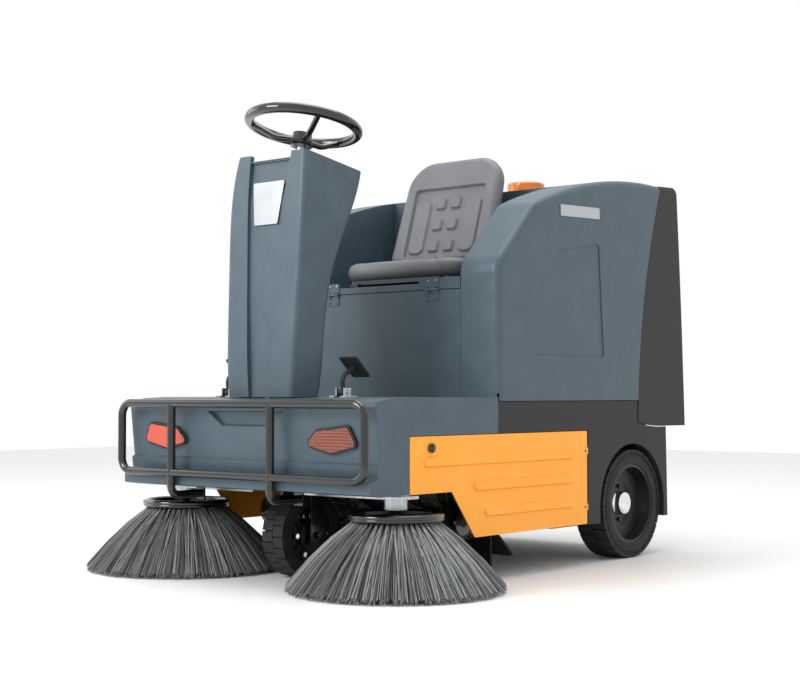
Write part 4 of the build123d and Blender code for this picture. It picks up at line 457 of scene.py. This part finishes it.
# ---------------------------------------------------------------- tyres
TYRE_STEPS = 96
GROOVE_SHARES = (0.35, 0.62)          # where the sidewall's fine grooves lie, up the wall
GROOVE_HALF_WIDTH, GROOVE_DEPTH = 2 * MM, 1.5 * MM
SHOULDER_STEPS = 4

tree, sizes = new_tree("tread_blocks", {
    "Count": "Int", "Rows": "Int", "Centre": "Vector", "Radius": "Float", "Spacing": "Float",
    "Block": "Vector",
})
block_number = add_node(tree, "GeometryNodeInputIndex")
row = add_node(tree, MATH, {0: block_number, 1: sizes["Rows"]}, operation="MODULO")
angle = add_node(tree, MATH, {0: block_number, 1: sizes["Count"]}, operation="DIVIDE")
angle = add_node(tree, MATH, {0: angle, 1: TURN}, operation="MULTIPLY")
middle_row = add_node(tree, MATH, {0: sizes["Rows"], 1: 1.0}, operation="SUBTRACT")
middle_row = add_node(tree, MATH, {0: middle_row, 1: 0.5}, operation="MULTIPLY")
across = add_node(tree, MATH, {0: row, 1: middle_row}, operation="SUBTRACT")
centre = add_node(tree, SEPARATE, {0: sizes["Centre"]}).node.outputs
x = add_node(tree, MATH, {0: across, 1: sizes["Spacing"], 2: centre["X"]},
             operation="MULTIPLY_ADD")
# the first block lies on top of the wheel, and angle turns each next one about X
sine = add_node(tree, MATH, {0: angle}, operation="SINE")
cosine = add_node(tree, MATH, {0: angle}, operation="COSINE")
back = add_node(tree, MATH, {0: sizes["Radius"], 1: sine}, operation="MULTIPLY")
y = add_node(tree, MATH, {0: centre["Y"], 1: back}, operation="SUBTRACT")
z = add_node(tree, MATH, {0: sizes["Radius"], 1: cosine, 2: centre["Z"]},
             operation="MULTIPLY_ADD")
spot = add_node(tree, COMBINE, {"X": x, "Y": y, "Z": z})
spots = add_node(tree, "GeometryNodePoints", {"Count": sizes["Count"], "Position": spot})
block = add_node(tree, "GeometryNodeMeshCube", {"Size": sizes["Block"]})
blocks = add_node(tree, "GeometryNodeInstanceOnPoints", {
    "Points": spots, "Instance": block, "Rotation": add_node(tree, COMBINE, {"X": angle})})
both = add_node(tree, "GeometryNodeJoinGeometry", {0: sizes["Geometry"]})
tree.links.new(blocks, both.node.inputs[0])
close_tree(tree, both, sizes)


def tyre(node, body, count, block, tread, shoulder, bead):
    """Solid tyre: a turned ring with two staggered rows of tread blocks. Sizes in mm.

    block is one block's width, length and height. tread is how far the blocks stand out of the
    ring, shoulder the rounding of its corners and bead its inner radius.
    """
    low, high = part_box(node)
    middle, half = (low.x + high.x) / 2, (high.x - low.x) / 2
    radius, mid_y, mid_z = (high.z - low.z) / 2, (low.y + high.y) / 2, (low.z + high.z) / 2
    wall, ring_radius = middle - half, radius - tread * MM
    shoulder, bead = shoulder * MM, bead * MM
    one_side = [(wall, bead)]
    for share in GROOVE_SHARES:
        at = bead + (ring_radius - bead) * share
        one_side += [(wall, at - GROOVE_HALF_WIDTH), (wall + GROOVE_DEPTH, at),
                     (wall, at + GROOVE_HALF_WIDTH)]
    for step in range(SHOULDER_STEPS + 1):
        a = pi / 2 * step / SHOULDER_STEPS
        one_side.append((wall + shoulder * (1 - cos(a)), ring_radius - shoulder * (1 - sin(a))))
    section = one_side + [(2 * middle - x, r) for x, r in reversed(one_side)]
    verts, faces = turned(section, TYRE_STEPS, lambda point, angle: (
        point[0], mid_y + point[1] * cos(angle), mid_z + point[1] * sin(angle)))
    width, length, height = (size * MM for size in block)
    # the outer corners of a block lie on the tyre's radius
    block_radius = sqrt(radius ** 2 - (length / 2) ** 2) - height / 2
    made = made_by(tree, node.replace("tyre", "treaded_tyre"), "tyre_rubber", {
        "Count": count, "Rows": 2, "Centre": (middle, mid_y, mid_z), "Radius": block_radius,
        "Spacing": half, "Block": (width, length, height),
    }, body, closed_mesh(node + "_ring", verts, faces))
    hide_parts(node)


for sign, side in SIDES:
    tyre(f"rear_tyre_{side}", f"rear_wheel_{side}", 56, (47, 31.5, 9), 6, 14, 116)
tyre("front_tyre", "front_wheel", 48, (36, 25.5, 7), 5, 10, 74)

# ---------------------------------------------------------------- screws, rivets and nuts
tree, sizes = new_tree("fasteners", {
    "Sides": "Int", "Radius": "Float", "Height": "Float", "Rotation": "Vector",
})
head = add_node(tree, "GeometryNodeMeshCylinder", {
    "Vertices": sizes["Sides"], "Radius": sizes["Radius"], "Depth": sizes["Height"]})
heads = add_node(tree, "GeometryNodeInstanceOnPoints", {
    "Points": sizes["Geometry"], "Instance": head, "Rotation": sizes["Rotation"]})
close_tree(tree, heads, sizes)

HEAD_TURN = {"X": (0.0, pi / 2, 0.0), "Y": (pi / 2, 0.0, 0.0)}


def fasteners(name, places, axis, sides, radius, height, slot_name, body, material=None):
    """Heads centred on the places, along X or Y. All sizes in mm."""
    mesh = bpy.data.meshes.new(name + "_places")
    mesh.from_pydata([[value * MM for value in place] for place in places], [], [])
    return made_by(tree, name, slot_name, {
        "Sides": sides, "Radius": radius * MM, "Height": height * MM,
        "Rotation": HEAD_TURN[axis]}, body, mesh, material)


def box_mm(node):
    """Lowest and highest corner of a CAD node, in mm."""
    return [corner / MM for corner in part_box(node)]


# all in mm
LEAF_HALF_WIDTH, SCREW_SPREAD = 22.0, 14.0
SCREW_PROUD, SCREW_RADIUS, SCREW_HEIGHT, SCREW_SIDES = 2.5, 3.0, 2.4, 12
seat_box, hinges = box_mm("seat_box_panel"), box_mm("lid_hinges")
hinge_xs = (hinges[1].x - LEAF_HALF_WIDTH, hinges[0].x + LEAF_HALF_WIDTH)
for name, above_box, body in (("hinge_screws_lower", -22, "chassis"),
                              ("hinge_screws_upper", 26, "lid")):
    places = [(x + shift, seat_box[0].y - SCREW_PROUD, seat_box[1].z + above_box)
              for x in hinge_xs for shift in (-SCREW_SPREAD, SCREW_SPREAD)]
    fasteners(name, places, "Y", SCREW_SIDES, SCREW_RADIUS, SCREW_HEIGHT, "zinc_steel", body)

RIVET_FROM_REAR, RIVETS_ABOVE_FOOT, RIVET_PROUD = 16.7, (48.0, 206.0), 0.5
door, housing = box_mm("side_door_left"), box_mm("front_housing")
for sign, side in SIDES:
    places = [(sign * (housing[1].x + RIVET_PROUD), door[1].y - RIVET_FROM_REAR, door[0].z + up)
              for up in RIVETS_ABOVE_FOOT]
    fasteners(f"door_rivets_{side}", places, "X", 12, 3.2, 2.0, "black_frame", f"door_{side}")

NUT_COUNT, NUT_CIRCLE = 6, 58.0
low, high = box_mm("front_rim")
hub, wheel_half = (low + high) / 2, box_mm("front_tyre")[1].x
nuts = [(sign * wheel_half, hub.y + NUT_CIRCLE * cos(TURN * i / NUT_COUNT),
         hub.z + NUT_CIRCLE * sin(TURN * i / NUT_COUNT))
        for sign, side in SIDES for i in range(NUT_COUNT)]
fasteners("front_hub_nuts", nuts, "X", 6, 7.5, 5.0, "zinc_steel", "front_wheel",
          finishes["chrome"])

# chromed dome over each rear hub, as (radius, height above the dish)
HUB_DOME = [(34.8, 0.5), (34.8, 20), (34.2, 22.5), (32, 25), (28.5, 26.9), (20, 28.4),
            (10, 29.1), (0.5, 29.3)]
DOME_STEPS, DISH_DEPTH = 48, 47.0
for sign, side in SIDES:
    low, high = box_mm(f"rear_rim_{side}")
    hub, dish_x = (low + high) / 2, box_mm("rear_tyre_left")[1].x - DISH_DEPTH
    verts, faces = [], []
    for radius, height in HUB_DOME:
        verts += [(sign * (dish_x + height) * MM,
                   (hub.y + radius * cos(TURN * i / DOME_STEPS)) * MM,
                   (hub.z + radius * sin(TURN * i / DOME_STEPS)) * MM)
                  for i in range(DOME_STEPS)]
    for level in range(len(HUB_DOME) - 1):
        here, above = level * DOME_STEPS, (level + 1) * DOME_STEPS
        faces += [(here + i, here + (i + 1) % DOME_STEPS, above + (i + 1) % DOME_STEPS, above + i)
                  for i in range(DOME_STEPS)]
    foot, crown = range(DOME_STEPS), range(len(verts) - DOME_STEPS, len(verts))
    faces += [tuple(foot), tuple(reversed(crown))]
    mesh_object(f"hub_dome_{side}", verts, faces, "zinc_steel", f"rear_wheel_{side}",
                material=finishes["chrome"])

# ---------------------------------------------------------------- ribs across the left lens
# all in mm: the lens's corners as (x, z), and the front face it stands on
LENS_OUTLINE = [(358, 405), (381, 360), (300, 342), (217, 360), (255, 394)]
FACE_TOP_Y, FACE_TOP_Z, FACE_SLOPE = -675.5, 461.0, 19.5 / 186.0
RIB_COUNT, RIB_FOOT_Z, RIB_PITCH, RIB_RADIUS = 7, 350, 7.6, 1.6
RIB_PROUD, RIB_INSET = 9.2, 7

tree, sizes = new_tree("lens_ribs", {"Radius": "Float"})
line = add_node(tree, "GeometryNodeMeshToCurve", {0: sizes["Geometry"]})
round_bar = add_node(tree, "GeometryNodeCurvePrimitiveCircle",
                     {"Radius": sizes["Radius"], "Resolution": 8})
rods = add_node(tree, "GeometryNodeCurveToMesh",
                {"Curve": line, "Profile Curve": round_bar, "Fill Caps": True})
close_tree(tree, rods, sizes)

verts = []
for level in range(RIB_COUNT):
    z = RIB_FOOT_Z + level * RIB_PITCH
    cuts = [x0 + (x1 - x0) * (z - z0) / (z1 - z0)
            for (x0, z0), (x1, z1) in zip(LENS_OUTLINE, LENS_OUTLINE[1:] + LENS_OUTLINE[:1])
            if (z0 - z) * (z1 - z) < 0]
    y = FACE_TOP_Y + (FACE_TOP_Z - z) * FACE_SLOPE - RIB_PROUD
    verts += [(x * MM, y * MM, z * MM) for x in (min(cuts) + RIB_INSET, max(cuts) - RIB_INSET)]
mesh = bpy.data.meshes.new("lens_lines")
mesh.from_pydata(verts, [(2 * rib, 2 * rib + 1) for rib in range(RIB_COUNT)], [])
made_by(tree, "lens_ribs", "amber_lens", {"Radius": RIB_RADIUS * MM}, "chassis", mesh)

# ---------------------------------------------------------------- seat
# Pads are shaped in mm, u across and v along from the middle and w out of the cushioned face.
PAD_STEPS = 150
EVEN = 0.6                    # share of even spacing in a pad's grid, the rest crowds the edges


def crowded(half, step):
    """Place of a grid line between -half and half, with more lines near the ends."""
    share = step / PAD_STEPS
    return half * (EVEN * (2 * share - 1) - (1 - EVEN) * cos(pi * share))


def pad(name, node, half_width, length, thick, corner, shape, place):
    """Vinyl pad with a rounded outline and rolled edges.

    half_width(v) and corner(v) give its outline, shape(u, v) the height of its top, and
    place(u, v, w) turns a point into the row frame, all in mm.
    """
    half_length, roll, row = length / 2, thick / 2, PAD_STEPS + 1
    top, bottom = [], []
    for j in range(row):
        for i in range(row):
            v = crowded(half_length, j)
            half, r = half_width(v), corner(v)
            u = crowded(half, i)
            du, dv = max(abs(u) - (half - r), 0.0), max(abs(v) - (half_length - r), 0.0)
            edge = min(half - abs(u), half_length - abs(v))
            if du > 0 and dv > 0:
                # draw the square corner in onto its arc
                scale = max(du, dv) / sqrt(du * du + dv * dv)
                edge = r - max(du, dv)
                u = (abs(u) - du + du * scale) * (1 if u > 0 else -1)
                v = (abs(v) - dv + dv * scale) * (1 if v > 0 else -1)
            share = min(max(edge, 0.0) / roll, 1.0)
            round_off = roll * sqrt(max(1 - (1 - share) ** 2, 0.0))
            top.append(place(u, v, -roll + round_off + shape(u, v) * share))
            bottom.append(place(u, v, -roll - round_off))
    # both faces share the points along the outline
    verts, under = list(top), []
    for k, point in enumerate(bottom):
        if k % row in (0, PAD_STEPS) or k // row in (0, PAD_STEPS):
            under.append(k)
        else:
            under.append(len(verts))
            verts.append(point)
    faces = []
    for j in range(PAD_STEPS):
        for i in range(PAD_STEPS):
            a, d = j * row + i, (j + 1) * row + i
            faces += [(a, a + 1, d + 1, d), (under[a], under[d], under[d + 1], under[a + 1])]
    verts = [[value * MM for value in point] for point in verts]
    made = mesh_object(name, verts, faces, "seat_vinyl", "seat")
    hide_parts(node)


CHANNEL_WIDTH = 4.5
CUSHION_SINK, CUSHION_CROWN, CUSHION_CORNER = 3, 4, 60
CROWN_HALF_WIDTH, CROWN_HALF_LENGTH = 215, 112
SIDE_SEAM_U, SIDE_SEAM_DEPTH = 132, 8
CROSS_SEAMS_V, CROSS_SEAM_DEPTH = (30, -40), 4


def channel(distance, depth):
    """Height of a stitched channel that is pulled into the foam."""
    return -depth * exp(-(distance / CHANNEL_WIDTH) ** 2)


def cushion_shape(u, v):
    """Crowned cushion with a seam along each side and two across the middle."""
    height = CUSHION_CROWN * (1 - (u / CROWN_HALF_WIDTH) ** 2) * (
        1 - (v / CROWN_HALF_LENGTH) ** 2) - CUSHION_SINK
    height += channel(abs(u) - SIDE_SEAM_U, SIDE_SEAM_DEPTH)
    if abs(u) < SIDE_SEAM_U:
        height += sum(channel(v - seam, CROSS_SEAM_DEPTH) for seam in CROSS_SEAMS_V)
    return height


BACK_LEAN = radians(17.4)
BACK_HEIGHT, BACK_THICK, BACK_FOOT_Y = 334.0, 42.0, 110.0
BACK_RAISED, BACK_ABOVE_CUSHION = 3, 3        # along the lean, and straight up
BACK_FOOT_HALF_WIDTH, BACK_TAPER = 190, 18
BACK_TOP_CORNER, BACK_FOOT_CORNER = 88, 30
BACK_SWELL, PANEL_EDGE = 1.5, 2.5
# panels of the backrest: middle u and v, half sizes, corner and how far each stands out.
# The first is the sunk field, the second a bolster at each side and the rest the small blocks.
BACK_PANELS = [(0, -39, 132, 111, 10, -11), (95, -50, 29, 86, 20, 8)]
BACK_PANELS += [(28, middle, 17, 18, 6, 9) for middle in (23, -45, -114)]


def plateau(u, v, half_u, half_v, corner):
    """1 inside a rounded rectangle around the origin, 0 outside, with a soft edge."""
    du, dv = abs(u) - half_u + corner, abs(v) - half_v + corner
    outside = sqrt(max(du, 0) ** 2 + max(dv, 0) ** 2) + min(max(du, dv), 0) - corner
    t = min(max(0.5 - outside / (2 * PANEL_EDGE), 0.0), 1.0)
    return t * t * (3 - 2 * t)


def back_shape(u, v):
    return BACK_SWELL + sum(
        rise * plateau(abs(u) - mid_u, v - mid_v, half_u, half_v, corner)
        for mid_u, mid_v, half_u, half_v, corner, rise in BACK_PANELS)


cushion_low, cushion_high = box_mm("seat_cushion")
cushion_mid = (cushion_low + cushion_high) / 2
cushion_size = cushion_high - cushion_low


def back_place(u, v, w):
    """Point on the leaning backrest, which rises from behind the cushion."""
    along = v + BACK_HEIGHT / 2 + BACK_RAISED
    return (u, BACK_FOOT_Y + along * sin(BACK_LEAN) - w * cos(BACK_LEAN),
            cushion_high.z + BACK_ABOVE_CUSHION + along * cos(BACK_LEAN) + w * sin(BACK_LEAN))


pad("cushion_vinyl", "seat_cushion", lambda v: cushion_size.x / 2, cushion_size.y,
    cushion_size.z, lambda v: CUSHION_CORNER, cushion_shape,
    lambda u, v, w: (u, cushion_mid.y + v, cushion_high.z + w))
pad("backrest_vinyl", "seat_backrest",
    lambda v: BACK_FOOT_HALF_WIDTH - BACK_TAPER * (v / BACK_HEIGHT + 0.5), BACK_HEIGHT,
    BACK_THICK, lambda v: BACK_TOP_CORNER if v > 0 else BACK_FOOT_CORNER, back_shape,
    back_place)

# ---------------------------------------------------------------- floor, light and camera
FLOOR_HALF = 8.0
corners = [(x * FLOOR_HALF, y * FLOOR_HALF, 0) for x, y in ((-1, -1), (1, -1), (1, 1), (-1, 1))]
floor = mesh_object("floor", corners, [(0, 1, 2, 3)], "badge_plate", None, False,
                    finish("studio_floor", "#E9E9E8", 0.6, bump=0.0))
world = bpy.data.worlds.new("studio")
bpy.context.scene.world = world
world.use_nodes = True
feed(world.node_tree.nodes["Background"], {"Color": srgb("#FFFFFF"), "Strength": 1.0})
# plain transform, so that the white room and the body's colours stay as they are set
bpy.context.scene.view_settings.view_transform = "Standard"


def softbox(name, place, target, size, power):
    """Square lamp of a size in metres, facing the target."""
    lamp = bpy.data.lights.new(name, "AREA")
    lamp.size, lamp.energy = size, power
    made = bpy.data.objects.new(name, lamp)
    made.location = place
    made.rotation_euler = (Vector(target) - Vector(place)).to_track_quat("-Z", "Y").to_euler()
    bpy.context.scene.collection.objects.link(made)


softbox("key", (-1.4, -4.2, 2.8), (0, -0.1, 0.5), 1.8, 120)
softbox("top", (0.0, 0.4, 4.2), (0, 0, 0.5), 3.0, 75)
softbox("fill", (-3.6, -1.6, 1.8), (0, 0, 0.5), 2.2, 20)

view = bpy.data.cameras.new("view")
view.lens, view.sensor_width = 67.3, 36.0
camera = bpy.data.objects.new("view", view)
camera.location = (2.764, -3.3435, 0.486)
camera.rotation_euler = (radians(91.68), 0.0, radians(40.05))
bpy.context.scene.collection.objects.link(camera)
bpy.context.scene.camera = camera
